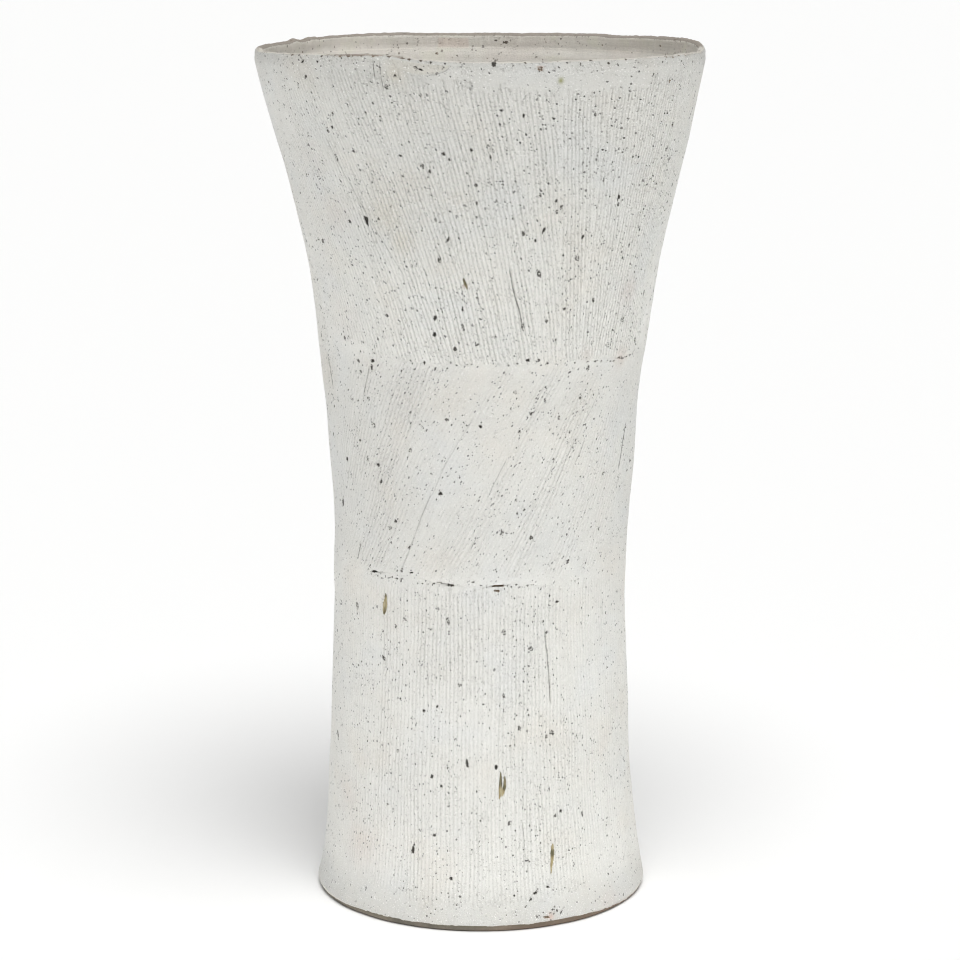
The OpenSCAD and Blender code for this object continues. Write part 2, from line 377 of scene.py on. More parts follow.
# ---------------------------------------------------------------------------
# Single marks: pits, scratches, burnt-out splinters and stains.
# (angle, height, width, height of mark, lean, depth) in degrees and mm
# ---------------------------------------------------------------------------
PITS = [
    (-35.5, 368.4, 2.2, 6.8, -12, 0.9), (-5.1, 88.5, 1.6, 5.8, -8, 0.6),
    (-15.4, 312.7, 2.8, 3.2, 0, 0.9), (5.6, 86.3, 1.9, 3.0, 0, 1.0),
    (18.5, 365.8, 1.7, 3.6, 20, 0.7), (27.3, 102.1, 2.6, 3.0, -25, 0.4),
    (-14.6, 445.9, 3.0, 1.1, 12, 0.8), (-56.2, 163.3, 2.6, 4.2, -10, 0.4),
    (-65.8, 215.4, 3.4, 4.6, 15, 0.5), (-25.3, 40.3, 1.5, 4.3, 0, 0.7),
    (-40.5, 241.7, 3.0, 2.0, 20, 0.6), (21.4, 319.4, 1.8, 2.8, -20, 0.5),
    (-15.8, 398.3, 2.2, 3.0, -20, 0.5), (-10.6, 27.4, 2.3, 1.8, 0, 0.9),
    (56.6, 295.1, 5.0, 1.6, 15, 0.6), (23.3, 377.2, 2.0, 3.2, 20, 0.4),
    (-15.0, 321.3, 1.8, 2.8, 0, 0.7), (28.3, 57.6, 2.3, 1.8, 30, 0.5),
    (61.8, 401.9, 2.6, 3.4, 30, 0.4), (-39.9, 296.2, 2.8, 2.2, 0, 0.9),
    (-18.4, 80.6, 1.7, 3.0, 0, 0.6), (-39.8, 139.2, 3.2, 2.2, 30, 0.4),
    (39.2, 292.9, 2.4, 4.0, -20, 0.22), (40.5, 55.2, 1.6, 4.2, 0, 0.5),
    (-14.9, 230.1, 1.8, 2.5, 25, 0.9), (-40.5, 292.6, 2.0, 4.0, 0, 0.8),
    (24.1, 20.8, 3.0, 1.7, 10, 0.9), (-57.7, 354.9, 2.8, 2.8, 0, 0.5),
    (8.5, 157.5, 2.6, 2.8, 0, 0.35), (-16.5, 117.6, 1.5, 2.4, 0, 0.7),
    (-2.6, 406.9, 1.7, 2.2, 0, 0.6), (19.3, 147.9, 2.6, 2.6, 0, 0.3),
    (-0.3, 265.7, 1.8, 1.8, 0, 0.7), (-13.1, 371.3, 1.7, 2.6, 0, 0.5),
    (10.6, 423.6, 1.4, 2.4, -10, 0.9), (16.5, 35.8, 3.2, 1.4, 15, 0.3),
    (54.6, 315.5, 2.8, 3.4, 10, 0.35), (-9.8, 404.6, 1.8, 1.9, 0, 0.6),
    (-13.9, 395.5, 1.5, 2.3, 0, 0.6), (-33.8, 212.9, 2.5, 1.8, 0, 0.6),
    (17.9, 344.3, 2.0, 4.2, -20, 0.3), (-39.4, 233.2, 1.8, 3.2, 20, 0.6),
    (-44.2, 413.7, 2.0, 2.8, -20, 0.5), (-53.2, 305.8, 2.2, 2.4, 0, 0.6),
    (-58.8, 240.5, 2.4, 2.8, 0, 0.6), (11.7, 283.1, 1.9, 1.9, 0, 0.6),
    (-26.2, 251.7, 2.0, 2.2, 20, 0.5), (10.5, 56.5, 2.4, 2.6, 30, 0.3),
    (30.6, 351.0, 3.0, 3.4, 0, 0.2), (-52.7, 274.0, 2.6, 3.0, 0, 0.3),
    (-41.9, 262.4, 2.6, 2.8, 0, 0.5), (-12.6, 351.4, 2.2, 3.2, 0, 0.25),
    (30.6, 59.5, 1.6, 1.9, 0, 0.6), (-43.4, 275.7, 1.8, 2.2, 0, 0.6),
    (-5.9, 317.0, 2.0, 3.6, -10, 0.3), (-21.2, 442.4, 2.2, 2.1, 0, 0.9),
    (22.0, 375.0, 1.5, 3.0, -10, 0.4), (61.7, 413.9, 2.6, 3.0, 0, 0.3),
    (16.2, 360.9, 1.4, 1.8, 0, 0.7), (-30.2, 161.8, 2.6, 2.0, 20, 0.3),
    (-45.3, 184.2, 3.8, 1.4, -10, 0.8), (13.7, 317.0, 1.8, 4.0, 0, 0.3),
    (-42.0, 367.8, 1.9, 1.9, 0, 0.4), (-36.5, 208.9, 2.4, 2.8, 20, 0.3),
    (-1.3, 389.2, 1.7, 1.9, 0, 0.5), (-32.1, 320.8, 2.0, 1.9, 0, 0.5),
    (16.6, 383.3, 1.8, 2.8, 0, 0.3), (7.8, 209.9, 1.8, 3.2, 25, 0.4),
    (-8.5, 305.8, 2.4, 2.6, 0, 0.2), (12.3, 364.8, 1.4, 3.4, -15, 0.3),
    (42.9, 380.1, 1.9, 3.2, 0, 0.4), (14.2, 106.4, 1.4, 2.3, 0, 0.5),
    (51.9, 235.0, 2.2, 2.0, 0, 0.5), (-19.4, 158.4, 1.8, 2.0, 0, 0.5),
    (21.5, 380.5, 1.4, 1.9, 0, 0.5), (65.7, 302.4, 2.2, 2.6, 0, 0.3),
    (-12.6, 163.5, 1.7, 4.8, -5, 0.2), (-46.3, 289.5, 1.9, 1.9, 0, 0.7),
    (12.9, 226.5, 1.8, 1.5, 0, 0.4), (4.5, 312.1, 2.2, 1.4, 0, 0.3),
    (8.4, 123.7, 1.4, 3.2, 0, 0.2), (18.9, 206.7, 1.5, 2.3, 25, 0.4),
    (27.1, 246.3, 1.6, 2.6, 25, 0.3), (-49.4, 446.9, 2.3, 2.6, 0, 0.9),
    (-15.1, 433.5, 2.2, 1.5, 0, 0.3), (30.2, 422.7, 1.4, 1.5, 0, 0.6),
    (51.4, 354.6, 1.6, 2.4, 0, 0.3), (-14.7, 75.7, 1.3, 1.6, 0, 0.6),
    (37.2, 277.5, 1.7, 1.6, 0, 0.5), (34.7, 191.5, 2.0, 2.8, 20, 0.2),
    (-48.6, 440.1, 1.4, 1.5, 0, 0.5), (-43.8, 447.6, 1.3, 1.2, 0, 0.6),
    (-15.7, 446.5, 2.1, 2.0, 0, 0.9), (-8.9, 446.8, 1.3, 1.0, 0, 0.4),
    (35.2, 446.8, 1.0, 2.2, -35, 0.5),
    (47.4, 441.0, 1.3, 1.0, 0, 0.5), (48.3, 439.6, 1.0, 1.4, 20, 0.5),
    (49.0, 441.4, 0.9, 0.9, 0, 0.4), (66.0, 444.6, 1.3, 3.4, 30, 0.5),
    (54.8, 436.6, 1.3, 1.2, 0, 0.4), (14.2, 446.2, 2.3, 2.2, 0, 0.7),
    (22.8, 5.5, 4.4, 1.6, 4, 0.75), (20.0, 6.5, 2.9, 1.7, 15, 0.25),
    (21.8, 8.1, 1.1, 0.9, 20, 0.45), (26.1, 10.2, 1.3, 1.3, 0, 0.5),
    (25.5, 8.7, 1.7, 1.3, 0, 0.5), (26.9, 8.0, 1.2, 1.2, 0, 0.3),
    (25.9, 6.8, 1.3, 1.1, 0, 0.3), (28.6, 6.8, 1.0, 2.8, 35, 0.6),
    (29.6, 8.7, 0.8, 1.8, 45, 0.3), (24.4, 7.2, 1.5, 0.9, 20, 0.2),
]
# Smaller pits: (angle, height, length, width, direction of the length in
# degrees anticlockwise from level, depth)
SMALL_PITS = [
    (17.8, 271.6, 1.5, 0.9, 19, 0.6), (17.6, 15.7, 2.0, 0.7, 40, 0.8),
    (19.2, 18.5, 2.0, 1.0, 30, 0.8), (2.5, 402.9, 2.4, 0.7, 98, 0.7),
    (-9.8, 361.3, 1.6, 0.9, 56, 0.6), (-21.8, 114.9, 1.2, 0.8, 0, 0.8),
    (27.8, 324.9, 1.1, 1.0, 90, 0.6), (-1.2, 379.8, 1.4, 0.7, 96, 0.6),
    (-42.4, 415.4, 1.0, 0.7, 90, 0.8), (-41.3, 422.3, 1.5, 0.6, 101, 0.7),
    (38.6, 328.4, 1.5, 1.0, 124, 0.5), (-1.3, 308.0, 2.1, 0.7, 27, 0.4),
    (50.6, 319.0, 1.1, 0.6, 90, 0.8), (0.9, 119.8, 1.0, 0.6, 12, 0.8),
    (-5.9, 326.2, 1.6, 0.7, 88, 0.7), (-42.8, 399.9, 1.5, 1.1, 98, 0.5),
    (-32.3, 91.8, 1.0, 0.6, 99, 0.8), (1.6, 354.6, 1.8, 0.7, 117, 0.4),
    (31.7, 361.5, 1.5, 0.6, 74, 0.6), (13.7, 262.7, 1.1, 0.9, 81, 0.6),
    (-30.5, 423.7, 1.2, 0.6, 97, 0.7), (-34.5, 157.6, 1.2, 0.6, 86, 0.6),
    (-12.0, 268.7, 1.4, 1.0, 114, 0.35), (-36.3, 404.7, 1.8, 0.6, 111, 0.4),
    (-49.4, 252.8, 1.0, 0.6, 71, 0.8), (-49.3, 274.0, 0.9, 0.6, 83, 0.8),
    (-8.4, 402.0, 1.3, 1.0, 144, 0.5), (-21.7, 264.9, 2.3, 0.8, 141, 0.4),
    (13.5, 219.8, 1.4, 0.8, 106, 0.6), (-21.8, 392.8, 0.9, 0.7, 26, 0.7),
    (-40.9, 153.4, 1.1, 0.6, 88, 0.6), (-1.1, 332.0, 0.9, 0.7, 119, 0.8),
    (-45.9, 243.3, 1.3, 0.8, 139, 0.5), (-19.3, 298.2, 1.2, 0.6, 84, 0.7),
    (-46.7, 295.1, 1.3, 0.9, 117, 0.6), (65.4, 396.5, 1.8, 0.5, 82, 0.4),
    (29.9, 171.1, 1.2, 0.7, 27, 0.7), (28.5, 268.5, 1.3, 0.6, 84, 0.6),
    (9.1, 372.2, 0.9, 0.7, 27, 0.8), (-23.6, 437.2, 1.7, 1.3, 140, 0.4),
    (33.6, 260.2, 1.0, 0.8, 136, 0.5), (16.2, 221.5, 0.8, 0.7, 90, 0.8),
    (-17.1, 49.2, 1.4, 0.6, 10, 0.8), (-26.4, 377.2, 1.5, 0.7, 65, 0.4),
    (-7.9, 129.9, 1.4, 1.1, 0, 0.4), (10.8, 97.2, 0.9, 0.8, 163, 0.7),
    (-21.6, 347.5, 1.2, 0.6, 88, 0.7), (25.0, 100.6, 1.6, 0.8, 93, 0.5),
    (23.0, 111.6, 0.9, 0.7, 84, 0.8), (-36.8, 61.8, 0.7, 0.6, 90, 0.9),
    (-31.5, 187.7, 2.2, 0.5, 75, 0.4), (42.6, 295.9, 1.0, 0.6, 17, 0.7),
    (-27.9, 200.5, 2.0, 0.5, 71, 0.5),
]
# Pits with a brown or rusty floor: (angle, height, radius, how brown), and
# pits that are a ring round a lighter middle
BROWN_PITS = [(14.2, 446.2, 2.0, 0.7), (22.8, 5.5, 2.6, 0.7),
              (54.8, 436.6, 1.4, 0.8)]
RING_PITS = [(14.2, 446.2), (56.6, 295.1), (61.8, 401.9)]
# Lower edge of the slip smeared down from the lip: (angle, height)
SMEAR = [(-40, 452.0), (-24.6, 450.5), (-22.5, 447.4), (-20.2, 444.2),
         (-17.0, 442.2), (-13.3, 442.6), (-10.1, 443.9), (-7.7, 446.4),
         (-6.0, 450.2), (10, 453.0)]
# Long narrow scratches: ((angle, height), ...), width, depth, how dark
SCRATCHES = [
    ([(-32.4, 185.0), (-27.8, 199.5), (-21.4, 221.0), (-17.8, 231.5)], 0.75,
     0.28, 0.42),
    ([(-21.4, 221.0), (-17.6, 230.5), (-13.6, 243.0), (-6.9, 260.0),
      (-2.2, 271.0)], 0.65, 0.20, 0.24),
    ([(8.4, 348.5), (10.1, 335.9), (12.2, 325.8), (13.8, 314.5)], 0.8, 0.35,
     1.0),
    ([(-46.0, 411.0), (-42.0, 395.0), (-37.5, 380.0), (-31.0, 360.0),
      (-24.0, 340.0)], 0.6, 0.20, 0.35),
    ([(24.9, 158.5), (25.4, 149.1), (26.0, 141.1), (26.5, 130.4),
      (26.9, 116.5)], 0.90, 0.30, 0.74),
    ([(-26.9, 447.6), (-26.7, 443.0), (-26.5, 437.5)], 0.55, 0.20, 0.85),
    ([(-24.9, 447.6), (-24.8, 440.0), (-24.3, 431.5)], 0.55, 0.20, 0.85),
    ([(2.4, 228.5), (6.2, 240.0), (9.7, 250.0)], 0.55, 0.2, 0.45),
    ([(-4.2, 200.0), (-1.4, 208.0)], 0.6, 0.25, 0.6),
    ([(62.0, 233.5), (64.0, 242.7), (65.3, 251.0), (67.0, 260.0)], 0.9, 0.3,
     1.0),
    ([(61.4, 223.5), (62.8, 228.5), (64.1, 233.6)], 0.8, 0.3, 0.9),
    ([(-67.8, 295.5), (-67.2, 286.0), (-66.4, 276.0)], 1.0, 0.3, 1.0),
    ([(-55.5, 188.0), (-54.2, 193.3), (-53.0, 198.5)], 0.8, 0.25, 0.9),
    ([(54.9, 157.5), (54.8, 162.4), (54.7, 167.5)], 0.8, 0.25, 0.6),
    ([(-46.4, 276.0), (-43.6, 286.0), (-41.2, 294.0)], 0.7, 0.3, 0.6),
    ([(-44.2, 277.0), (-41.0, 288.0)], 0.6, 0.25, 0.5),
    ([(15.0, 58.0), (15.9, 45.0), (16.2, 33.0)], 0.6, 0.2, 0.45),
    ([(39.0, 262.5), (43.0, 271.0), (46.0, 279.0)], 0.55, 0.2, 0.4),
    ([(35.5, 241.0), (39.4, 250.5), (41.0, 256.0)], 0.55, 0.2, 0.45),
    ([(28.0, 232.0), (33.0, 247.0), (37.0, 258.0)], 0.5, 0.2, 0.35),
    ([(110.0, 320.0), (113.0, 345.0), (118.0, 372.0)], 0.6, 0.25, 0.5),
    ([(150.0, 60.0), (151.0, 85.0), (150.0, 104.0)], 0.7, 0.3, 0.5),
    ([(200.0, 205.0), (206.0, 224.0), (213.0, 246.0)], 0.6, 0.25, 0.5),
    ([(252.0, 330.0), (249.0, 352.0), (245.0, 380.0)], 0.6, 0.25, 0.5),
]
# Splinter-shaped scars where wood in the clay burnt out. Each is a depth, a
# path from the top down of (angle, height, half width), and how dark it is
# along that path from 0, tan, to 1, dark olive.
SCARS = [
    (0.55, [(7.3, 83.6, 0.25), (7.3, 81.0, 0.55), (7.2, 77.0, 0.65),
            (7.0, 73.0, 0.72), (6.8, 69.6, 0.30)],
     [(0, 0.95), (0.35, 0.85), (0.55, 0.60), (0.72, 0.22), (1, 0.30)]),
    (0.50, [(8.8, 81.2, 0.30), (8.8, 78.6, 0.62), (8.7, 75.3, 0.70),
            (8.3, 73.0, 0.66), (8.0, 71.0, 0.25)],
     [(0, 0.75), (0.30, 0.55), (0.48, 0.55), (0.62, 0.95), (0.78, 0.25),
      (1, 0.10)]),
    (0.25, [(7.9, 75.5, 0.20), (7.8, 73.0, 0.60), (7.6, 70.8, 0.20)],
     [(0, 0.10), (1, 0.0)]),
    (0.55, [(-39.2, 173.8, 0.35), (-39.3, 172.2, 0.80), (-39.5, 169.6, 1.12),
            (-39.8, 166.6, 1.25), (-40.1, 164.2, 1.05), (-40.3, 162.6, 0.45)],
     [(0, 1.0), (0.12, 0.80), (0.25, 0.25), (0.60, 0.20), (0.78, 0.60),
      (1, 0.70)]),
    (0.60, [(26.9, 42.9, 0.30), (26.9, 41.0, 0.75), (26.7, 38.3, 1.05),
            (26.5, 35.4, 0.90), (26.2, 32.0, 0.72), (25.9, 29.0, 0.45),
            (25.7, 27.0, 0.18)],
     [(0, 0.10), (0.14, 0.15), (0.24, 0.95), (0.36, 0.70), (0.50, 0.15),
      (0.80, 0.25), (1, 0.75)]),
    (0.45, [(-5.5, 341.8, 0.30), (-5.1, 340.0, 0.60), (-4.7, 338.4, 0.65),
            (-4.2, 336.4, 0.30)],
     [(0, 1.0), (0.45, 0.95), (0.65, 0.45), (1, 0.60)]),
    (0.50, [(126.0, 255.5, 0.30), (127.2, 252.5, 0.85), (128.4, 248.0, 0.95),
            (129.6, 244.5, 0.30)], [(0, 0.9), (0.3, 0.3), (1, 0.5)]),
    (0.50, [(205.4, 126.5, 0.25), (205.2, 122.5, 0.95), (204.8, 117.0, 1.0),
            (204.6, 113.5, 0.30)], [(0, 0.9), (0.2, 0.3), (0.7, 0.2), (1, 0.7)]),
    (0.50, [(171.4, 356.5, 0.25), (172.0, 353.0, 0.80), (172.8, 348.5, 0.30)],
     [(0, 0.8), (0.5, 0.3), (1, 0.6)]),
    (0.50, [(262.4, 64.5, 0.25), (262.2, 61.0, 0.90), (261.8, 55.5, 1.0),
            (261.6, 51.5, 0.30)], [(0, 0.5), (0.3, 0.9), (0.6, 0.2), (1, 0.5)]),
]
# Soft coloured stains, one also painted shade: (angle, height, radius, kind)
# with kind 0 rust, 1 ochre, 2 olive, 3 pink
STAINS = [
    (14.2, 448.0, 2.0, 3, 0.9), (19.5, 440.3, 1.7, 2, 0.9),
    (24.3, 5.6, 2.3, 3, 0.8), (-5.0, 338.4, 3.2, 0, 0.5),
    (-51.0, 314.0, 13.0, 3, 0.10), (-51.0, 345.0, 12.0, 1, 0.07),
    # (51, 5): a pink patch low on the right of the foot, made darker as painted
    # shade near the floor
    (-53.0, 398.0, 13.0, 3, 0.07), (51.0, 5.0, 9.0, 3, 0.14),
    (56.0, 330.0, 9.0, 3, 0.25), (-29.0, 372.0, 13.0, 1, 0.22),
    (-24.0, 360.0, 9.0, 1, 0.22), (-50.0, 36.0, 14.0, 3, 0.22),
    (-60.0, 62.0, 12.0, 3, 0.16), (-47.0, 371.0, 12.0, 3, 0.16),
    (-21.0, 444.0, 7.0, 1, 0.25),
    (48.0, 327.0, 6.0, 0, 0.22), (56.0, 295.5, 6.0, 3, 0.3),
    (38.0, 300.0, 5.0, 3, 0.18), (118.0, 90.0, 12.0, 3, 0.2),
    (160.0, 300.0, 10.0, 1, 0.2), (215.0, 400.0, 12.0, 1, 0.2),
    (240.0, 210.0, 10.0, 3, 0.2), (187.0, 40.0, 8.0, 0, 0.2),
]
# Open places in the two joints: (angle, height, length, tall, depth, brown)
GAPS = [
    (6.4, 182.0, 6.0, 1.15, 1.5, 1.0), (5.9, 179.4, 3.0, 1.1, 0.9, 1.0),
    (-15.8, 183.2, 2.4, 0.8, 1.4, 0.1), (-11.5, 182.1, 3.5, 0.95, 1.8, 0.2),
    (-44.4, 184.3, 3.1, 0.8, 1.2, 0.0), (-33.9, 182.9, 1.6, 0.8, 0.9, 0.0),
    (-27.3, 187.0, 2.0, 0.8, 0.8, 0.0), (-31.9, 182.2, 0.9, 2.2, 0.9, 0.0),
    (-2.9, 184.1, 1.3, 0.9, 0.7, 0.0),
    (15.7, 299.6, 1.9, 1.7, 0.9, 0.0), (55.3, 295.4, 3.0, 0.95, 1.1, 0.2),
    (52.3, 294.4, 1.5, 0.9, 0.9, 0.0), (60.2, 294.8, 1.6, 0.7, 0.7, 0.0),
    (42.2, 295.8, 1.1, 0.8, 0.7, 0.0), (45.2, 295.3, 1.0, 0.8, 0.7, 0.0),
    (57.1, 291.8, 1.1, 1.3, 0.6, 0.0),
    (142.0, 183.2, 5.0, 1.0, 1.6, 0.4), (171.0, 182.4, 3.0, 0.8, 1.0, 0.0),
    (228.0, 182.0, 4.2, 0.9, 1.3, 0.6), (100.0, 294.4, 3.4, 0.9, 1.2, 0.2),
    (196.0, 298.8, 3.0, 0.9, 1.2, 0.1), (251.0, 299.8, 4.0, 0.8, 1.0, 0.0),
]
# How much each joint stands open round the body, 0 closed to 1 open
LOWER_OPEN = [(-66, 0.05), (-52, 0.10), (-46, 0.55), (-42, 0.55), (-37, 0.35),
              (-31, 0.30), (-22, 0.15), (-17, 0.75), (-13, 0.80), (-9, 0.80),
              (-6, 0.20), (2, 0.25), (4, 0.7), (9, 0.7), (12, 0.25),
              (24, 0.15), (30, 0.05), (60, 0.04), (75, 0.2), (96, 0.6),
              (118, 0.1), (140, 0.7), (150, 0.6), (165, 0.15), (185, 0.3),
              (205, 0.1), (228, 0.7), (238, 0.5), (262, 0.2), (280, 0.1)]
UPPER_OPEN = [(-66, 0.05), (-45, 0.10), (-39, 0.25), (-30, 0.10),
              (-22, 0.25), (-17, 0.25), (-5, 0.15), (4, 0.10), (14, 0.30),
              (20, 0.08), (36, 0.10), (44, 0.30), (54, 0.60), (60, 0.45),
              (76, 0.40), (98, 0.6), (120, 0.1), (150, 0.3), (172, 0.1),
              (196, 0.6), (215, 0.1), (250, 0.6), (268, 0.2)]
# Small crumbs and dots along the joints on the side that faces the front
DOTS = [
    (-48.8, 184.4), (-46.6, 182.3), (-44.9, 182.0), (-43.2, 182.4),
    (-41.4, 182.0), (-39.3, 182.6), (-37.4, 182.2), (-35.6, 183.8),
    (-22.6, 182.3), (-20.4, 181.9), (-18.2, 182.9), (0.2, 182.2),
    (2.4, 182.5), (10.2, 181.9), (11.7, 181.4), (13.4, 181.7), (15.1, 181.2),
    (17.4, 181.5), (19.6, 181.0), (36.8, 180.9), (38.6, 180.7),
    (40.3, 180.9), (61.6, 178.5), (-4.4, 297.4), (-3.3, 297.8),
    (-11.0, 296.1), (-19.2, 297.9), (-24.0, 298.2), (-8.0, 297.7),
    (9.2, 297.2), (12.4, 298.1), (19.2, 299.4), (22.8, 297.9), (27.5, 297.2),
    (33.5, 296.9), (38.4, 296.4), (48.6, 295.2), (50.6, 294.8),
    (62.6, 295.6), (65.0, 295.8), (67.9, 296.4), (70.4, 297.0),
    (73.1, 297.2),
]


def scattered_pits():
    """Pits on the parts of the wall that the list above doesn't reach."""
    rng = np.random.default_rng(77)
    out = []
    while len(out) < 250:
        a = rng.uniform(-180, 180)
        z = rng.uniform(8, 444)
        if abs(a) < 66:
            continue
        size = 0.7 + 1.5 * rng.random() ** 3.0
        tall = size * rng.uniform(0.8, 2.0)
        out.append((a, z, size * 1.15, tall * 1.15, rng.uniform(-25, 25),
                    rng.uniform(0.15, 0.55)))
    return out


def local_mm(th, z, a, z0):
    return outer_r(z) * wrap(th - math.radians(a)), z - z0


def along_path(x, points, column):
    """Value of one column of a path at heights x, the path given downwards."""
    p = np.array(points, dtype=float)[::-1]
    return np.interp(x, p[:, 1], p[:, column])


def marks(th, z, h, att):
    """Cuts the single marks into h and fills the attributes. mark and scar
    are distances in mm, positive inside; cut is measured in half widths."""
    lumps = 0.26 * iso(th, z, 1.3, 45) + 0.14 * iso(th, z, 2.4, 46)
    rng = np.random.default_rng(59)
    dots = []
    for a, z0 in DOTS:
        u = rng.random(6)
        dots.append((a + 0.6 * (u[0] - 0.5), z0 + 0.9 * (u[1] - 0.5),
                     0.6 + 1.3 * u[2] ** 1.6, 0.45 + 0.45 * u[3],
                     60.0 * (u[4] - 0.5), 0.25 + 0.5 * u[5]))
    pits = [(a, z0, w * 0.84, t * 0.86, lean, d)
            for a, z0, w, t, lean, d in PITS]
    pits += [(a, z0, max(0.9, 1.3 * w) / max(0.5, math.cos(math.radians(a))),
              max(1.15, 1.3 * t), 90.0 - way, d)
             for a, z0, t, w, way, d in SMALL_PITS]
    for i, (a, z0, w, hh, lean, depth) in enumerate(
            pits + dots + scattered_pits()):
        ring = (a, z0) in RING_PITS
        a = float(seen(a, z0))
        z0 = unlifted(a, z0)
        rad = 0.5 * max(w, hh) * 1.9 + 1.6
        sel = np.nonzero((np.abs(z - z0) < rad)
                         & (np.abs(wrap(th - math.radians(a))) * 80.0
                            < rad * 1.1))
        if not len(sel[0]):
            continue
        u, v = local_mm(th[sel], z[sel], a, z0)
        c, s = math.cos(math.radians(lean)), math.sin(math.radians(lean))
        p, q = u * c - v * s, u * s + v * c
        rn = np.sqrt((p / (0.5 * w)) ** 2 + (q / (0.5 * hh)) ** 2)
        rn = rn * (1.0 + lumps[sel])
        core = 0.5 * math.sqrt(w * hh)
        inside = (1.0 - rn) * core
        if ring:
            inside = np.minimum(inside, (rn - 0.52) * core)
        elif i > 24 and w > 1.3 and hash01(i, 63) < 0.4:
            # a curved pit: a lump of slip fills part of it from one side
            turn = TAU * hash01(i, 64)
            rc = np.sqrt(((p - 0.27 * w * math.cos(turn)) / (0.30 * w)) ** 2
                         + ((q - 0.27 * hh * math.sin(turn))
                            / (0.30 * hh)) ** 2)
            inside = np.minimum(inside, (rc - 1.0) * core * 0.6)
        h[sel] -= depth * smooth01(1.30 - rn)
        h[sel] += 0.09 * np.exp(-((rn - 1.55) / 0.35) ** 2)
        new = inside > att["mark"][sel]
        att["deep"][sel] = np.where(
            new, min(1.0, 0.62 + 0.38 * max(0.0, (depth - 0.2) / 0.45)),
            att["deep"][sel])
        att["mark"][sel] = np.where(new, inside, att["mark"][sel])
    for a, z0, rad, brown in BROWN_PITS:
        a = float(seen(a, z0))
        u, v = local_mm(th, z, a, unlifted(a, z0))
        sel = np.nonzero(u * u + v * v < rad * rad)
        att["brown"][sel] = np.maximum(att["brown"][sel], brown)
    for pts, w, depth, dark in SCRATCHES:
        pa = np.array(pts, dtype=float)
        pa[:, 0] = seen(pa[:, 0], pa[:, 1])
        lo, hi = pa[:, 1].min() - 2, pa[:, 1].max() + 2
        amid = math.radians(pa[:, 0].mean())
        span = math.radians(np.ptp(pa[:, 0]) / 2 + 5)
        sel = np.nonzero((z > lo) & (z < hi)
                         & (np.abs(wrap(th - amid)) < span))
        if not len(sel[0]):
            continue
        o = np.argsort(pa[:, 1])
        line = through(z[sel], [(pa[i, 1], pa[i, 0]) for i in o])
        lean = np.gradient(pa[o, 0], pa[o, 1]).mean()
        across = outer_r(z[sel]) * wrap(th[sel] - np.radians(line))
        across = across * math.cos(math.atan(math.radians(lean) * 85.0))
        across = across + 0.20 * noise1(z[sel], 6.0, int(lo))
        soft = min(4.0, 0.22 * (hi - lo - 4.0))
        ends = smooth01((z[sel] - lo - 2) / soft) * smooth01(
            (hi - 2 - z[sel]) / soft)
        swell = 0.80 + 0.20 * noise1(z[sel], 3.0, int(lo) + 9)
        h[sel] -= depth * ends * np.exp(-(across / (0.60 * w)) ** 2)
        t = dark * ends * swell * smooth01((1.7 - np.abs(across)) / 0.6)
        new = t > att["cut_w"][sel]
        att["cut"][sel] = np.where(new, across / (0.5 * w), att["cut"][sel])
        att["cut_w"][sel] = np.where(new, t, att["cut_w"][sel])
    for depth, path, dark in SCARS:
        path = [(float(seen(a, z0)), z0, w) for a, z0, w in path]
        top, low = path[0][1], path[-1][1]
        amid = math.radians(path[len(path) // 2][0])
        sel = np.nonzero((z < top + 3) & (z > low - 3)
                         & (np.abs(wrap(th - amid)) < 0.09))
        if not len(sel[0]):
            continue
        zs = z[sel]
        mid = np.radians(along_path(zs, path, 0))
        half = along_path(zs, path, 2) * (1.10 + 0.12 * noise1(zs, 1.6, 7))
        across = outer_r(zs) * wrap(th[sel] - mid) \
            + 0.07 * noise1(zs, 1.9, int(top))
        d = np.minimum(half - np.abs(across),
                       np.minimum(top - zs, zs - low) * 0.7 + 0.12)
        t = np.clip((top - zs) / (top - low), 0.0, 1.0)
        h[sel] -= depth * smooth01((d + 0.25) / 0.55)
        h[sel] += 0.09 * np.exp(-((d + 0.55) / 0.25) ** 2)
        new = d > att["scar"][sel]
        shade = np.interp(t, [q[0] for q in dark], [q[1] for q in dark])
        att["olive"][sel] = np.where(new & (d > -1.2), 0.0, att["olive"][sel])
        att["shade"][sel] = np.where(new, shade, att["shade"][sel])
        att["scar"][sel] = np.where(new, d, att["scar"][sel])
    for a, z0, rad, kind, amount in STAINS:
        a = float(seen(a, z0))
        u, v = local_mm(th, z, a, unlifted(a, z0))
        d2 = (u * u + v * v) / (rad * rad)
        sel = np.nonzero(d2 < 4.0)
        if not len(sel[0]):
            continue
        m = amount * np.exp(-d2[sel] * 1.4)
        name = ("rust", "ochre", "olive", "pink")[kind]
        att[name][sel] = np.maximum(att[name][sel], m)
    for a, z0, length, tall, depth, brown in GAPS:
        u, v = local_mm(th, z, float(seen(a, z0)), z0)
        sel = np.nonzero((np.abs(u) < length) & (np.abs(v) < tall * 2 + 1.5))
        if not len(sel[0]):
            continue
        u, v = u[sel], v[sel]
        v = v + 0.12 * noise1(u + a, 1.3, int(abs(a) * 10) + 5)
        # a bar with round ends, thinner towards its left
        tall_u = 0.5 * tall * (0.86 + 0.28 * u / length)
        rn = (np.abs(u / (0.5 * length)) ** 3
              + np.abs(v / tall_u) ** 3) ** (1.0 / 3.0)
        d = np.minimum(tall_u - np.abs(v), 0.5 * length - np.abs(u))
        d = np.minimum(d, (1.0 - rn) * tall)
        h[sel] -= depth * smooth01((d + 0.22) / 0.40)
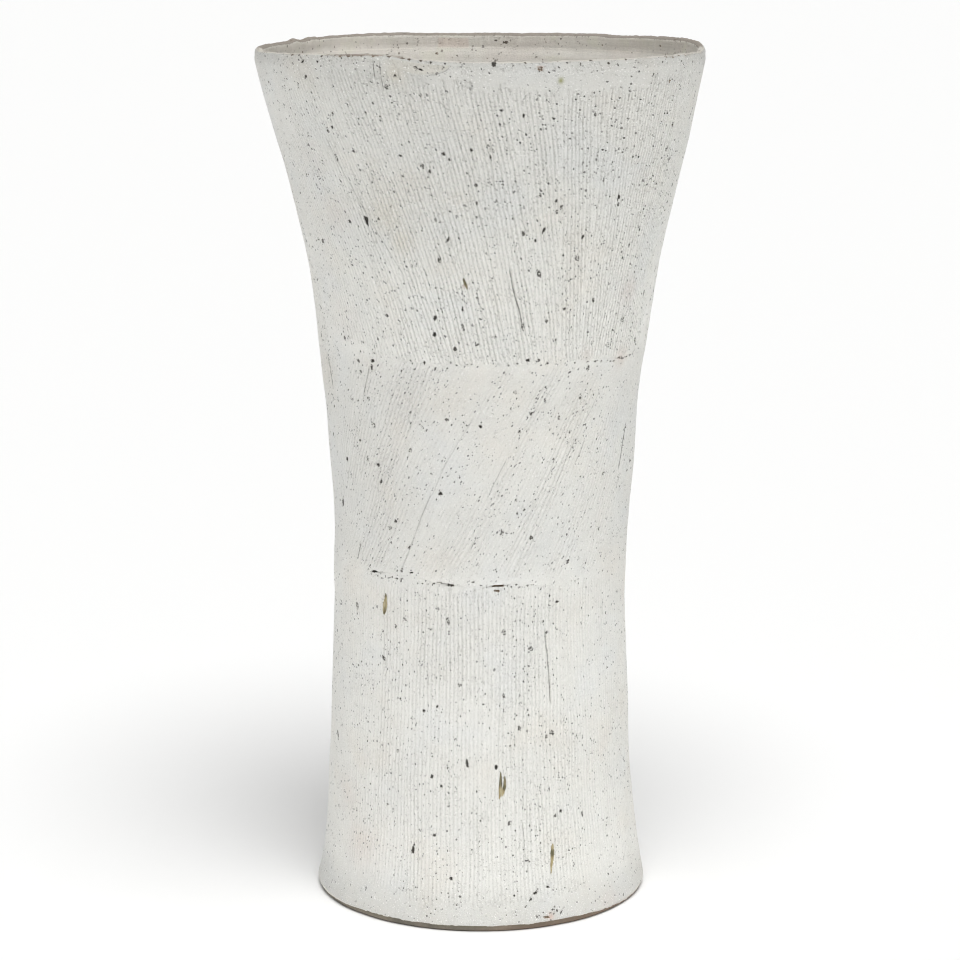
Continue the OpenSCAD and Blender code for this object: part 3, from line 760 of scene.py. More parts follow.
        # the lower edge is pushed up a little
        h[sel] += 0.22 * np.exp(-((v + tall * 0.5 + 0.45) / 0.35) ** 2) \
            * smooth01((0.55 * length - np.abs(u)) / 0.8)
        att["mark"][sel] = np.maximum(att["mark"][sel], d + 0.06)
        att["deep"][sel] = np.where(d > -0.8, 1.0, att["deep"][sel])
        att["brown"][sel] = np.maximum(
            att["brown"][sel], brown * smooth01((d + 1.4) / 0.6))


def seam_relief(th, z, h, att, which, above):
    """The edge of a joint. above is the section over the joint."""
    zs = seam_z(th, which)
    d = np.clip(z - zs if above else zs - z, 0.0, None)
    s = 0 if which == "upper" else 40
    stand = np.clip(through(deg(wrap(th)), UPPER_OPEN if which == "upper"
                            else LOWER_OPEN, 360.0), 0.0, 1.0)
    worn = 0.5 + 0.5 * noise2(th, 0 * th, 38, 20.0, 901 + s)
    fine = 0.5 + 0.5 * noise2(th, 0 * th, 190, 20.0, 903 + s)
    crumb = noise2(th, z, 330, 1.7, 905 + s)
    near = np.exp(-d / 2.2)
    if above:
        h += (0.03 + 0.55 * stand * fine) * near
    else:
        h -= (0.02 + 0.30 * stand * worn * fine) * near
    h += (0.05 + 0.12 * stand) * crumb * np.exp(-d / 3.5)
    dark = np.exp(-d / 0.50) * smooth01((fine + 0.8 * stand - 0.95) / 0.25)
    att["line"][:] = np.maximum(att["line"], (0.15 + 0.85 * stand) * dark)
    # both sides of the joint are gritty where it was pressed together
    rub = np.exp(-((d - 0.6) / 1.6) ** 2) * smooth01((worn - 0.35) / 0.4)
    att["grit"][:] = np.maximum(att["grit"], rub * (0.35 + 0.65 * stand))


NAMES = ("groove", "mark", "line", "scar", "rust", "ochre", "olive", "pink",
         "bare", "lip_wear_and_shade", "teeth", "comb", "cut", "cut_w", "shade", "brown",
         "grit", "press", "deep", "thin", "coat")
REST = {"mark": -2.0, "scar": -2.0, "cut": 6.0, "deep": 1.0}
COMB_MID = {"upper": 374.0, "middle": 240.0, "lower": 93.0}
# Share of the combing that is left where the scraper hardly touched the
# wall, and where it pressed well
TOUCH = {"upper": (0.95, 0.95), "middle": (0.28, 0.90), "lower": (0.56, 0.84)}
UPPER_LEAN = [(-180, -8), (-150, -6), (-120, -10), (-90, -15), (-60, -16),
              (-30, -15.5), (0, -14), (20, -12), (35, -8), (50, -2), (65, 1),
              (90, -4), (130, -7)]


def lean_at(th, band):
    if band == "upper":
        return np.radians(through(deg(wrap(th)), UPPER_LEAN, 360.0))
    return np.radians(np.full_like(th, 25.0 if band == "middle" else 0.5))


def comb_frame(th, z, band):
    """Round the body as before, but with the combing turned upright."""
    mid = COMB_MID[band]
    a = th - np.tan(lean_at(th, band)) * (z - mid) / 88.0
    return np.stack([88.0 * np.sin(a), -88.0 * np.cos(a), z], -1) * MM


def new_attributes(shape):
    return {n: np.full(shape, REST.get(n, 0.0)) for n in NAMES}


def outer_relief(th, z, band, att):
    """Height of the outside over the smooth curve, in millimetres."""
    h = 0.42 * iso(th, z, 60.0, 21, 1.3)
    h += 0.22 * iso(th, z, 24.0, 22, 1.6)
    h += 0.07 * fbm(th, z, 9.0, 23, 2, 1.4)
    strokes = {"upper": upper_strokes, "middle": middle_strokes,
               "lower": lower_strokes}[band]()
    c, g, count, strong, press = comb(th, z, strokes)
    # slip lies thicker in some places and levels the grooves there
    fill = 0.5 + 0.5 * fbm(th, z, 34.0, 31, 2, 0.8)
    fill2 = 0.5 + 0.5 * fbm(th, z, 9.0, 33, 2, 1.6)
    keep = (0.55 + 0.45 * smooth01(0.15 + 1.25 * fill)) \
        * (0.70 + 0.30 * smooth01(fill2 * 1.7))
    # the scraper caught the higher places of the wall and skipped the rest
    upright = th - np.tan(lean_at(th, band)) * (z - COMB_MID[band]) / 88.0
    least, most = TOUCH[band]
    keep = keep * (least + (most - least) * smooth01(
        (noise2(upright, z, 40, 52.0, 35) + 0.30) / 0.6))
    if band == "upper":
        # a thin skin of slip was smeared down from the lip here
        a = deg(wrap(th))
        edge = z - through(a, SMEAR)
        skin = smooth01(edge / 0.9) * smooth01((a + 25.0) / 1.5) \
            * smooth01((-5.6 - a) / 1.5)
        keep = keep * (1 - skin)
        h += 0.20 * skin
        att["ochre"][:] = np.maximum(att["ochre"], 0.16 * skin)
        lip = np.exp(-((edge + 0.1) / 0.45) ** 2) * smooth01((a + 21.0) / 3) \
            * smooth01((-5.0 - a) / 1.5)
        att["line"][:] = np.maximum(
            att["line"], lip * (0.45 + 0.25 * smooth01((a + 15.0) / 5.0)))
    h += c * keep
    att["groove"][:] = np.maximum(att["groove"], g * keep)
    att["teeth"][:] = count
    att["comb"][:] = strong * keep
    att["press"][:] = press * keep
    # fine ragged texture left by grog dragged along the grooves
    drag = smooth01(strong * keep * 1.2)
    calm = 0.35 + 0.65 * np.clip(att["press"] / 0.85, 0.0, 1.0)
    h += 0.045 * iso(th, z, 1.5, 41, 1.8) * (0.45 + 0.9 * drag) * calm
    h += 0.030 * iso(th, z, 0.9, 43, 1.7) * calm
    marks(th, z, h, att)
    return h


# ---------------------------------------------------------------------------
# Meshes
# ---------------------------------------------------------------------------
def add_mesh(name, verts, quads, tris, uv, attributes, sharp=None,
             frame_co=None):
    """verts in mm; quads and tris index them; uv is per corner, quads first."""
    me = bpy.data.meshes.new(name)
    nq, nt = len(quads), len(tris)
    me.vertices.add(len(verts))
    me.vertices.foreach_set(
        "co", (np.asarray(verts) * MM).astype(np.float32).ravel())
    loops = np.concatenate([np.asarray(quads, dtype=np.int32).ravel(),
                            np.asarray(tris, dtype=np.int32).ravel()])
    me.loops.add(len(loops))
    me.loops.foreach_set("vertex_index", loops)
    me.polygons.add(nq + nt)
    start = np.concatenate([np.arange(nq) * 4, nq * 4 + np.arange(nt) * 3])
    me.polygons.foreach_set("loop_start", start.astype(np.int32))
    me.update(calc_edges=True)
    me.validate(verbose=False)
    layer = me.uv_layers.new(name="OFBake")
    layer.data.foreach_set("uv", np.asarray(uv, dtype=np.float32).ravel())
    for key, values in attributes.items():
        a = me.attributes.new(key, "FLOAT", "POINT")
        a.data.foreach_set("value", np.asarray(values, np.float32).ravel())
    if frame_co is not None:
        a = me.attributes.new("comb_co", "FLOAT_VECTOR", "POINT")
        a.data.foreach_set("vector", np.asarray(frame_co, np.float32).ravel())
    me.polygons.foreach_set("use_smooth", np.ones(nq + nt, dtype=bool))
    if sharp:
        me.set_sharp_from_angle(angle=math.radians(sharp))
    ob = bpy.data.objects.new(name, me)
    bpy.context.scene.collection.objects.link(ob)
    return ob


class Builder:
    """Collects rings of points into one closed skin."""

    def __init__(self, band=None):
        self.rings, self.v, self.att = [], [], []
        self.count = 0
        self.band = band

    def ring(self, pts, v, att=None):
        n = len(pts)
        self.rings.append((self.count, n, v))
        self.v.append(np.asarray(pts, dtype=float))
        row = {k: np.full(n, REST.get(k, 0.0)) for k in NAMES}
        if att:
            for k, val in att.items():
                row[k] = row[k] * 0 + val
        self.att.append(row)
        self.count += n

    def grid(self, x, y, z, v, att):
        for j in range(x.shape[0]):
            self.ring(np.stack([x[j], y[j], z[j]], -1), v[j],
                      {k: a[j] for k, a in att.items()})

    def build(self, name, closed=True, caps=False, sharp=None):
        quads, tris, uvq, uvt = [], [], [], []
        rings = list(self.rings)
        pairs = list(zip(rings[:-1], rings[1:]))
        if closed:
            pairs.append((rings[-1], rings[0]))
        for (s0, n0, v0), (s1, n1, v1) in pairs:
            if s1 == 0 and s0 > 0:
                v1 = 1.0
            if n0 == n1:
                i = np.arange(n0)
                k = (i + 1) % n0
                quads.append(np.stack([s0 + i, s0 + k, s1 + k, s1 + i], -1))
                u0, u1 = i / n0, (i + 1) / n0
                uvq.append(np.stack([np.stack([u0, 0 * u0 + v0], -1),
                                     np.stack([u1, 0 * u0 + v0], -1),
                                     np.stack([u1, 0 * u0 + v1], -1),
                                     np.stack([u0, 0 * u0 + v1], -1)], 1))
            elif n0 == 1 or n1 == 1:
                big, small = (1, 0) if n0 == 1 else (0, 1)
                sb, nb, vb = (s0, n0, v0) if big == 0 else (s1, n1, v1)
                sc, vc = (s1, v1) if big == 0 else (s0, v0)
                i = np.arange(nb)
                k = (i + 1) % nb
                order = ((sb + i, sb + k, sc + 0 * i) if big == 0
                         else (sb + k, sb + i, sc + 0 * i))
                tris.append(np.stack(order, -1))
                ua, ub = i / nb, (i + 1) / nb
                um = (ua + ub) / 2
                a = np.stack([ua, 0 * ua + vb], -1)
                b = np.stack([ub, 0 * ua + vb], -1)
                c = np.stack([um, 0 * ua + vc], -1)
                uvt.append(np.stack([a, b, c] if big == 0 else [b, a, c], 1))
            else:
                # a ring of n points joined to one of n / 4 points
                fine_first = n0 > n1
                sf, nf, vf = (s0, n0, v0) if fine_first else (s1, n1, v1)
                sc, nc, vc = (s1, n1, v1) if fine_first else (s0, n0, v0)
                step = nf // nc
                c = np.arange(nc)
                c1 = (c + 1) % nc
                for q in range(step):
                    f0 = (c * step + q) % nf
                    f1 = (c * step + q + 1) % nf
                    apex = c if q < step / 2 else c1
                    uf0 = (c * step + q) / nf
                    uf1 = (c * step + q + 1) / nf
                    ua = (c / nc) if q < step / 2 else (c + 1) / nc
                    t = np.stack([sf + f0, sf + f1, sc + apex], -1)
                    w = np.stack([np.stack([uf0, 0 * uf0 + vf], -1),
                                  np.stack([uf1, 0 * uf0 + vf], -1),
                                  np.stack([ua, 0 * uf0 + vc], -1)], 1)
                    if not fine_first:
                        t, w = t[:, ::-1], w[:, ::-1]
                    tris.append(t)
                    uvt.append(w)
                fm = (c * step + step // 2) % nf
                t = np.stack([sc + c1, sc + c, sf + fm], -1)
                w = np.stack([np.stack([(c + 1) / nc, 0 * c + vc], -1),
                              np.stack([c / nc, 0 * c + vc], -1),
                              np.stack([(c * step + step // 2) / nf,
                                        0 * c + vf], -1)], 1)
                if not fine_first:
                    t, w = t[:, ::-1], w[:, ::-1]
                tris.append(t)
                uvt.append(w)
        verts = np.concatenate(self.v)
        quads = (np.concatenate(quads) if quads
                 else np.zeros((0, 4), dtype=np.int32))
        tris = (np.concatenate(tris) if tris
                else np.zeros((0, 3), dtype=np.int32))
        uv = np.concatenate([np.concatenate(uvq).reshape(-1, 2) if uvq
                             else np.zeros((0, 2)),
                             np.concatenate(uvt).reshape(-1, 2) if uvt
                             else np.zeros((0, 2))])
        att = {k: np.concatenate([r[k] for r in self.att]) for k in NAMES}
        co = None
        if self.band:
            co = comb_frame(np.arctan2(verts[:, 0], -verts[:, 1]),
                            verts[:, 2], self.band)
        return add_mesh(name, verts, quads, tris, uv, att, sharp, co)


def place(th, r, z):
    """Points of the leaning body: radius r at angle th and height z."""
    x = r * np.sin(th) + through(z, LEAN_X)
    y = -r * np.cos(th) + 0.6 * np.sin(z / 62.0) * smooth01(z / 60.0)
    return x, y, z


def angles(n):
    return np.arange(n) * TAU / n


# How worn the slip is along the lip, by angle
LIP_WEAR = [(-100, 0.55), (-80, 0.40), (-64, 0.15), (-52, 0.60), (-44, 0.25),
            (-37, 0.85), (-27, 0.95), (-21, 0.75), (-16, 0.55), (-9, 0.40),
            (-3, 0.35), (8, 0.30), (18, 0.40), (30, 0.30), (40, 0.35),
            (52, 0.62), (60, 0.45), (72, 0.65), (84, 0.60), (110, 0.9),
            (140, 0.8), (180, 0.9), (222, 1.0), (240, 0.9)]


# Dark and rusty spots on the rounded lip: (angle, degrees round the lip from
# its outside, width, height along the lip, how brown)
LIP_SPOTS = [
    (-54.1, 45, 1.6, 0.9, 0.3), (-47.9, 38, 1.2, 0.8, 0.3),
    (-42.4, 35, 1.5, 0.9, 0.2), (-36.4, 40, 1.6, 1.1, 0.8),
    (-33.8, 42, 2.1, 1.2, 0.6), (-32.7, 38, 1.1, 1.0, 0.4),
    (-38.2, 36, 1.0, 0.9, 0.3), (-30.1, 40, 1.4, 0.9, 0.4),
    (-26.8, 42, 1.9, 1.1, 1.0), (-22.6, 36, 3.0, 0.7, 0.3),
    (-23.2, 78, 2.4, 1.5, 0.2), (-19.0, 45, 1.4, 0.8, 0.3),
    (-17.5, 40, 2.0, 0.8, 0.4), (-14.5, 45, 1.3, 0.8, 0.3),
    (-5.0, 60, 1.0, 0.8, 0.2), (10.5, 55, 1.2, 0.7, 0.2),
    (3.1, 46, 2.0, 2.3, 0.0), (32.4, 8, 1.2, 1.8, 0.1), (-8.6, 30, 0.9, 0.9, 0),
    (-12.0, 25, 0.8, 1.4, 0.1), (7.6, 22, 0.8, 0.9, 0), (21.0, 30, 0.9, 0.9, 0),
    (-3.0, 5, 0.8, 0.8, 0), (24.5, 12, 0.8, 1.3, 0.1), (41.0, 28, 0.9, 0.8, 0),
    (27.5, 60, 1.4, 0.7, 0.2), (38.0, 50, 1.1, 0.7, 0.3),
    (52.5, 50, 1.6, 0.8, 0.8), (55.5, 40, 1.3, 0.8, 0.9),
    (58.5, 55, 1.8, 0.8, 0.7), (62.0, 45, 1.3, 0.8, 0.9),
    (78.0, 95, 2.0, 1.6, 1.0), (112.5, 150, 2.6, 1.0, 0.9),
    (138.2, 120, 1.8, 1.2, 0.3), (180.5, 115, 1.6, 1.0, 0.3),
    (201.8, 120, 1.8, 1.2, 0.3), (211.6, 105, 1.8, 1.1, 0.3),
    (243.0, 120, 2.4, 1.2, 0.8), (236.0, 110, 1.8, 1.0, 1.0),
]
# Spots inside, just below the lip: (angle, height, width, height, how brown)
INSIDE_SPOTS = [
    (172.7, 445.0, 2.7, 1.6, 0.3), (175.4, 446.1, 1.8, 0.8, 0.2),
    (192.4, 438.9, 1.9, 1.2, 0.7), (186.6, 437.6, 1.0, 0.8, 0.2),
    (181.2, 440.7, 0.9, 0.7, 0.2), (161.3, 447.0, 1.1, 0.8, 0.9),
    (161.0, 445.2, 1.1, 0.8, 0.9), (194.1, 436.9, 1.0, 0.7, 0.7),
    (188.6, 446.4, 1.0, 0.7, 0.8), (205.3, 442.3, 0.9, 0.7, 0.2),
    (151.6, 441.2, 1.1, 0.7, 0.5), (143.2, 444.4, 1.2, 0.8, 0.8),
    (217.0, 445.5, 1.1, 0.8, 0.3), (226.5, 441.6, 1.3, 0.9, 0.3),
    (132.4, 440.8, 1.1, 0.8, 0.4), (120.0, 445.2, 1.6, 1.0, 0.9),
    (112.0, 442.0, 1.2, 0.9, 0.9), (238.2, 443.4, 1.4, 1.0, 0.5),
]


def spots_at(th, v, spots, radius):
    """Signed distance to the nearest of some spots, and how brown it is."""
    best = np.full(th.shape, REST["mark"])
    brown = np.zeros(th.shape)
    for a, v0, w, h, b in spots:
        du = radius * wrap(th - math.radians(a)) / (0.5 * w)
        dv = (v - v0) / (0.5 * h)
        d = (1.0 - np.sqrt(du * du + dv * dv)) * 0.5 * math.sqrt(w * h)
        brown = np.where(d > best, b, brown)
        best = np.maximum(best, d)
    return best, brown


def inside_relief(th, z):
    """Finger and rib marks left inside by turning and smoothing."""
    zz = z + 2.2 * th / TAU + 1.3 * iso(th, z, 70.0, 51)
    h = 0.16 * noise1(zz, 3.6, 52) + 0.20 * noise1(zz, 8.5, 53)
    h = h + 0.30 * iso(th, z, 40.0, 54) + 0.06 * iso(th, z, 7.0, 55, 0.5)
    return h


def wall(name, band, n_fine, z_rows, bottom, top):
    """One wall section. bottom and top are "slab", "lower", "upper", "lip"."""
    th1 = angles(n_fine)
    n_in = n_fine // 4
    th2 = angles(n_in)
    b = Builder(band)
    zlo = (np.full(n_fine, SLAB_EDGE) if bottom == "slab"
           else seam_z(th1, bottom))
    if top == "lip":
        zhi = np.full(n_fine, TOTAL_H - 2.1)
    else:
        zhi = seam_z(th1, top)
    t = z_rows[:, None]
    z = zlo[None, :] * (1 - t) + zhi[None, :] * t
    th = np.broadcast_to(th1[None, :], z.shape).copy()
    att = new_attributes(z.shape)
    h = outer_relief(th, z, band, att)
    if bottom in ("lower", "upper"):
        seam_relief(th, z, h, att, bottom, True)
    if top in ("lower", "upper"):
        seam_relief(th, z, h, att, top, False)
    if bottom == "slab":
        # the slip ends in a soft uneven edge just above the slab
        edge = np.exp(-(z - SLAB_EDGE) / 1.1)
        h -= 0.45 * edge
        h *= 1 - 0.6 * np.exp(-(z - SLAB_EDGE) / 5.0)
    r = outer_r(z) + through(z, SWELL) + h
    v_out = 0.02 + 0.66 * z_rows
    if top == "lip":
        lift = rim_lift(th) * smooth01((z - 372.0) / 74.0)
        near = smooth01((z - 436.0) / 12.0)
        r = r - near * 0.25 * (0.5 + 0.5 * noise2(th, z, 120, 6.0, 71))
        att["thin"][:] = 0.45 * smooth01((z - 442.0) / 6.0)
        att["grit"][:] = np.maximum(att["grit"], 0.7 * smooth01(
            (z - 440.0) / 6.0))
        # distance along the lip, upwards from where its rounding starts
        lip_list = [(float(seen(a, 447.0)), 0.0367 * g, w * 1.12,
                     hh * (1.4 if 30 < g < 60 else 1.0), b)
                    for a, g, w, hh, b in LIP_SPOTS]
        d, b_ = spots_at(th, z - (TOTAL_H - 2.1), lip_list, RIM_R)
        att["brown"][:] = np.where(d > att["mark"], b_, att["brown"])
        att["mark"][:] = np.maximum(att["mark"], d)
        x, y, zz = place(th, r, z)
        b.grid(x, y, zz + lift, v_out, att)
        # the rounded lip, from outside over the top to the inside
        steps = 13
        phi = np.linspace(0, math.pi, steps + 1)[1:]
        tl = th1
        base_r = r[-1]
        half = 2.1 + 0.30 * noise2(tl, 0 * tl, 46, 20.0, 73) \
            + 0.12 * noise2(tl, 0 * tl, 210, 20.0, 75) \
            + 0.09 * noise2(tl, 0 * tl, 520, 20.0, 76)
        lift1 = rim_lift(tl)
        wear_n = 0.5 + 0.5 * noise2(tl, 0 * tl, 90, 20.0, 77)
        a_lip = deg(wrap(tl))
        back = smooth01((np.abs(a_lip) - 82.0) / 10.0)
        patch = np.clip(through(a_lip, LIP_WEAR, 360.0), 0.0, 1.0)
        for k, p in enumerate(phi):
            rr = base_r - half * (1 - math.cos(p))
            zt = (TOTAL_H - 2.1) + half * math.sin(p) * 0.98
            rough = 0.07 * noise2(tl, 0 * tl + 9 * k, 300, 7.0, 79)
            rr = rr + rough * math.cos(p)
            zt = zt + rough * math.sin(p)
            x, y, zz = place(tl, rr, zt)
            g = math.degrees(p)
            far = smooth01((g - 58.0) / 16.0) * smooth01((174.0 - g) / 20.0)
            line = smooth01((g - 18.0) / 18.0) * smooth01((104.0 - g) / 22.0)
            spot, rusty = spots_at(tl, 0.0367 * g + 0 * tl, lip_list, RIM_R)
            # on the back half the crest and inner side of the lip are darkened
            # as painted shade; in front it is wear along the lip
            a = {"lip_wear_and_shade": back * far * (0.74 + 0.26 * wear_n)
                 + (1 - back) * line * patch * (0.40 + 0.50 * wear_n),
                 "rust": 0.55 * smooth01((patch - 0.45) / 0.3) * line
                 * smooth01((noise2(tl, 0 * tl, 130, 20.0, 83) - 0.1) / 0.3),
                 "bare": smooth01((g - 38.0) / 30.0), "grit": 0.7,
                 "mark": spot, "brown": rusty,
                 "thin": (0.55 + 0.45 * smooth01(g / 45.0))
                 * smooth01((150.0 - g) / 36.0)}
            b.ring(np.stack([x, y, zz + lift1], -1),
                   0.68 + 0.04 * (k + 1) / steps, a)
        # fine rings down the inside, before the wider mesh
        for k, zi in enumerate(np.linspace(TOTAL_H - 3.0, TOTAL_H - 12.8, 15)):
            f = smooth01((TOTAL_H - 3.0 - zi) / 9.0)
            ri = inner_r(zi + 0 * tl) + inside_relief(tl, zi + 0 * tl) * f \
                + (base_r - 2 * half - inner_r(zi + 0 * tl)) * (1 - f) * 0.85
            x, y, zz = place(tl, ri, zi + 0 * tl)
            spot, rusty = spots_at(tl, zi + 0 * tl, INSIDE_SPOTS, 112.0)
            patch = smooth01((4.6 - np.abs(deg(tl) % 360.0 - 187.6)) / 0.5) \
                * smooth01((zi - 441.8) / 0.6)
            b.ring(np.stack([x, y, zz + lift1 * smooth01(
                (zi - 372.0) / 74.0)], -1), 0.72 + 0.003 * (k + 1),
                {"bare": 1.0, "mark": spot, "brown": rusty,
                 "pink": 0.6 * patch})
        z_in_top = TOTAL_H - 14.0
    else:
        x, y, zz = place(th, r, z)
        b.grid(x, y, zz, v_out, att)
        z_in_top = None
    # inside, from the top down, with a quarter of the points
    if top == "lip":
        zin_hi = np.full(n_in, z_in_top)
    else:
        zin_hi = seam_z(th2, top) + SCARF_RISE
    if bottom == "slab":
        zin_lo = np.full(n_in, SLAB_EDGE)
    else:
        zin_lo = seam_z(th2, bottom) + SCARF_RISE
    rows = max(8, int(round((zin_hi.mean() - zin_lo.mean()) / 2.0)))
    for j in range(rows + 1):
        f = j / rows
        zi = zin_hi * (1 - f) + zin_lo * f
        keep = 1.0
        ri = inner_r(zi) + inside_relief(th2, zi) * keep
        lift = rim_lift(th2) * smooth01((zi - 372.0) / 74.0)
        x, y, zz = place(th2, ri, zi)
        b.ring(np.stack([x, y, zz + (lift if top == "lip" else 0)], -1),
               0.77 + 0.21 * f, {"bare": 1.0})
    return b.build(name, closed=True, sharp=48)


def coil(name, zc_low, zc_high, kind):
    """A coil pressed along the inside, dented by fingertips."""
    n = 480
    th = angles(n)
    b = Builder()
    dent = 0.5 + 0.5 * np.cos(th * 23 + 1.4 * noise1(deg(th), 15.0, 91))
    dent = dent * (0.6 + 0.4 * noise1(deg(th), 9.0, 92))
    if kind == "floor":
        r0 = inner_r(np.array(SLAB_T)) - FLOOR_COIL_W
        z1 = SLAB_T + FLOOR_COIL_W
        r1 = inner_r(np.array(z1))
        profile = []
        for k in range(17):
            a = 0.5 * math.pi * k / 16
            profile.append((r0 + (r1 - r0) * (1 - math.cos(a)) * 1.0,
                            SLAB_T + FLOOR_COIL_W * (1 - math.sin(0.5 * math.pi
                            - a)), math.sin(2 * a)))
        face = []
        for pr, pz, w in profile:
            face.append((pr + 0 * th, pz + 0 * th, w))
        back = [(float(inner_r(np.array(zb))) + 0.5, zb)
                for zb in (z1, SLAB_T + 4.0, SLAB_T)]
        count = len(face) + len(back)
        for k, (pr, pz, w) in enumerate(face):
            push = w * (0.5 * dent + 0.25 * noise2(th, 0 * th + 11 * k, 90,
                                                   9.0, 93))
            x, y, zz = place(th, pr - push, pz + push)
            zz = np.maximum(zz, SLAB_T - 0.1)
            b.ring(np.stack([x, y, zz], -1), k / count, {"bare": 1.0})
        for k, (pr, pz) in enumerate(back):
            x, y, zz = place(th, pr + 0 * th, pz - 0.05 + 0 * th)
            b.ring(np.stack([x, y, zz], -1), (len(face) + k) / count,
                   {"bare": 1.0})
    else:
        z0, z1 = zc_low, zc_high
        m = 19
        for k in range(m):
            t = k / (m - 1)
            zk = z0 + (z1 - z0) * t
            arch = 1 - (2 * t - 1) ** 2
            push = COIL_BULGE * arch * (0.86 + 0.18 * dent) \
                + arch * 0.25 * noise2(th, 0 * th + 11 * k, 100, 9.0, 95)
            rr = inner_r(zk + 0 * th) - push + 0.25 * (1 - arch)
            x, y, zz = place(th, rr, zk + 0.8 * arch * noise1(deg(th), 12.0,
                                                              96))
            b.ring(np.stack([x, y, zz], -1), k / (m + 4), {"bare": 1.0})
        for k in range(4):
            t = 1 - (k + 0.5) / 4
            zk = z0 + (z1 - z0) * t
            x, y, zz = place(th, inner_r(zk + 0 * th) + 0.6, zk + 0 * th)
            b.ring(np.stack([x, y, zz], -1), (m + k) / (m + 4), {"bare": 1.0})
    ob = b.build(name, closed=True, sharp=60)
    flip_out(ob)
    return ob


def flip_out(ob):
    """Makes the faces of a ring look outwards, by its signed volume."""
    me = ob.data
    me.calc_loop_triangles()
    n = len(me.loop_triangles)
    tri = np.empty(n * 3, dtype=np.int32)
    me.loop_triangles.foreach_get("vertices", tri)
    co = np.empty(len(me.vertices) * 3, dtype=np.float32)
    me.vertices.foreach_get("co", co)
    co = co.reshape(-1, 3).astype(float)
    p = co[tri.reshape(-1, 3)]
    vol = np.einsum("ij,ij->i", p[:, 0], np.cross(p[:, 1], p[:, 2])).sum() / 6
    if vol < 0:
        me.flip_normals()
    return vol


def slab():
    n = 960
    th = angles(n)
    b = Builder()
    r_top = float(outer_r(np.array(SLAB_EDGE)))
    r_bot = r_top - EDGE_BEVEL
    lean = float(through(np.array([1.0]), LEAN_X)[0])

    def put(r, z, v, **att):
        x = r * np.sin(th) + lean
        y = -r * np.cos(th)
        b.ring(np.stack([x, y, z + 0 * th], -1), v, att or {"bare": 1.0})

    uneven = 0.30 * noise2(th, 0 * th, 40, 20.0, 111) \
        + 0.12 * noise2(th, 0 * th, 260, 20.0, 113)
    # underside, from the middle out: flat where it stands, faintly scraped
    b.ring(np.array([[lean, 0.0, 0.35]]), 0.0, {"bare": 1.0})
    for k, rr in enumerate(np.linspace(4, r_bot - 5.0, 26)):
        rel = 0.35 - 0.30 * smooth01((rr - 60.0) / 20.0)
        z = rel + 0.10 * noise2(th, rr + 0 * th, 60, 6.0, 115) \
            + 0.05 * noise2(th, rr + 0 * th, 300, 2.0, 117)
        put(rr, np.maximum(z, 0.0), 0.30 * (k + 1) / 28, bare=1.0)
    put(r_bot - 2.4, 0.0, 0.31, bare=1.0)
    put(r_bot - 1.0 + 0.3 * uneven, 0.02, 0.325, bare=1.0)
    # the bare edge: a worn corner, then a slightly sloping rough band
    rows = 16
    for k in range(rows + 1):
        t = k / rows
        z = 0.12 + (SLAB_EDGE - 0.12) * t
        corner = 0.55 * (1 - smooth01(t / 0.22))
        rough = 0.10 * noise2(th, z * 6 + 0 * th, 330, 3.0, 119) \
            + 0.06 * noise2(th, z * 9 + 0 * th, 640, 2.0, 121)
        r = r_bot + (r_top - r_bot) * t ** 0.8 - corner + uneven * 0.5 \
            + rough * math.sin(math.pi * t)
        # slip ran a little way down over the edge, most of all at the sides
        side = smooth01((np.abs(deg(wrap(th))) - 36.0) / 26.0)
        right = np.exp(-((deg(wrap(th)) - 66.0) / 22.0) ** 2)
        reach = 0.10 + 1.45 * side + 0.50 * right + 0.55 * np.clip(
            noise2(th, 0 * th, 70, 20.0, 127)
            + 0.6 * noise2(th, 0 * th, 300, 20.0, 129), 0.0, 1.0)
        put(r, z, 0.34 + 0.10 * t, bare=1.0,
            coat=(z - (SLAB_EDGE - reach)) / 0.35,
            olive=smooth01((z - 1.9) / 1.2)
            * (0.5 + 0.5 * noise2(th, 0 * th, 50, 20.0, 131)),
            rust=smooth01((deg(wrap(th)) + 10.0) / 30.0) * 0.7)
    # the ledge below the wall, and the raised middle inside the vase
    r_in = float(inner_r(np.array(SLAB_EDGE)))
    put(r_in - 0.1, SLAB_EDGE, 0.47, bare=1.0)
    put(float(inner_r(np.array(SLAB_T))) - 0.1, SLAB_T - 0.6, 0.50, bare=1.0)
    for k, rr in enumerate(np.linspace(float(inner_r(np.array(SLAB_T))) - 1.0,
                                       3.0, 44)):
        spiral = 0.22 * noise1(rr + 3.0 * th / TAU, 3.4, 123)
        z = SLAB_T - 0.25 + spiral * smooth01(rr / 20.0) \
            + 0.15 * noise2(th, rr + 0 * th, 24, 12.0, 125)
        put(rr, z, 0.52 + 0.46 * (k + 1) / 46, bare=1.0)
    b.ring(np.array([[lean, 0.0, SLAB_T - 0.3]]), 1.0, {"bare": 1.0})
    ob = b.build("floor_slab_clay", closed=False, sharp=50)
    flip_out(ob)
    return ob


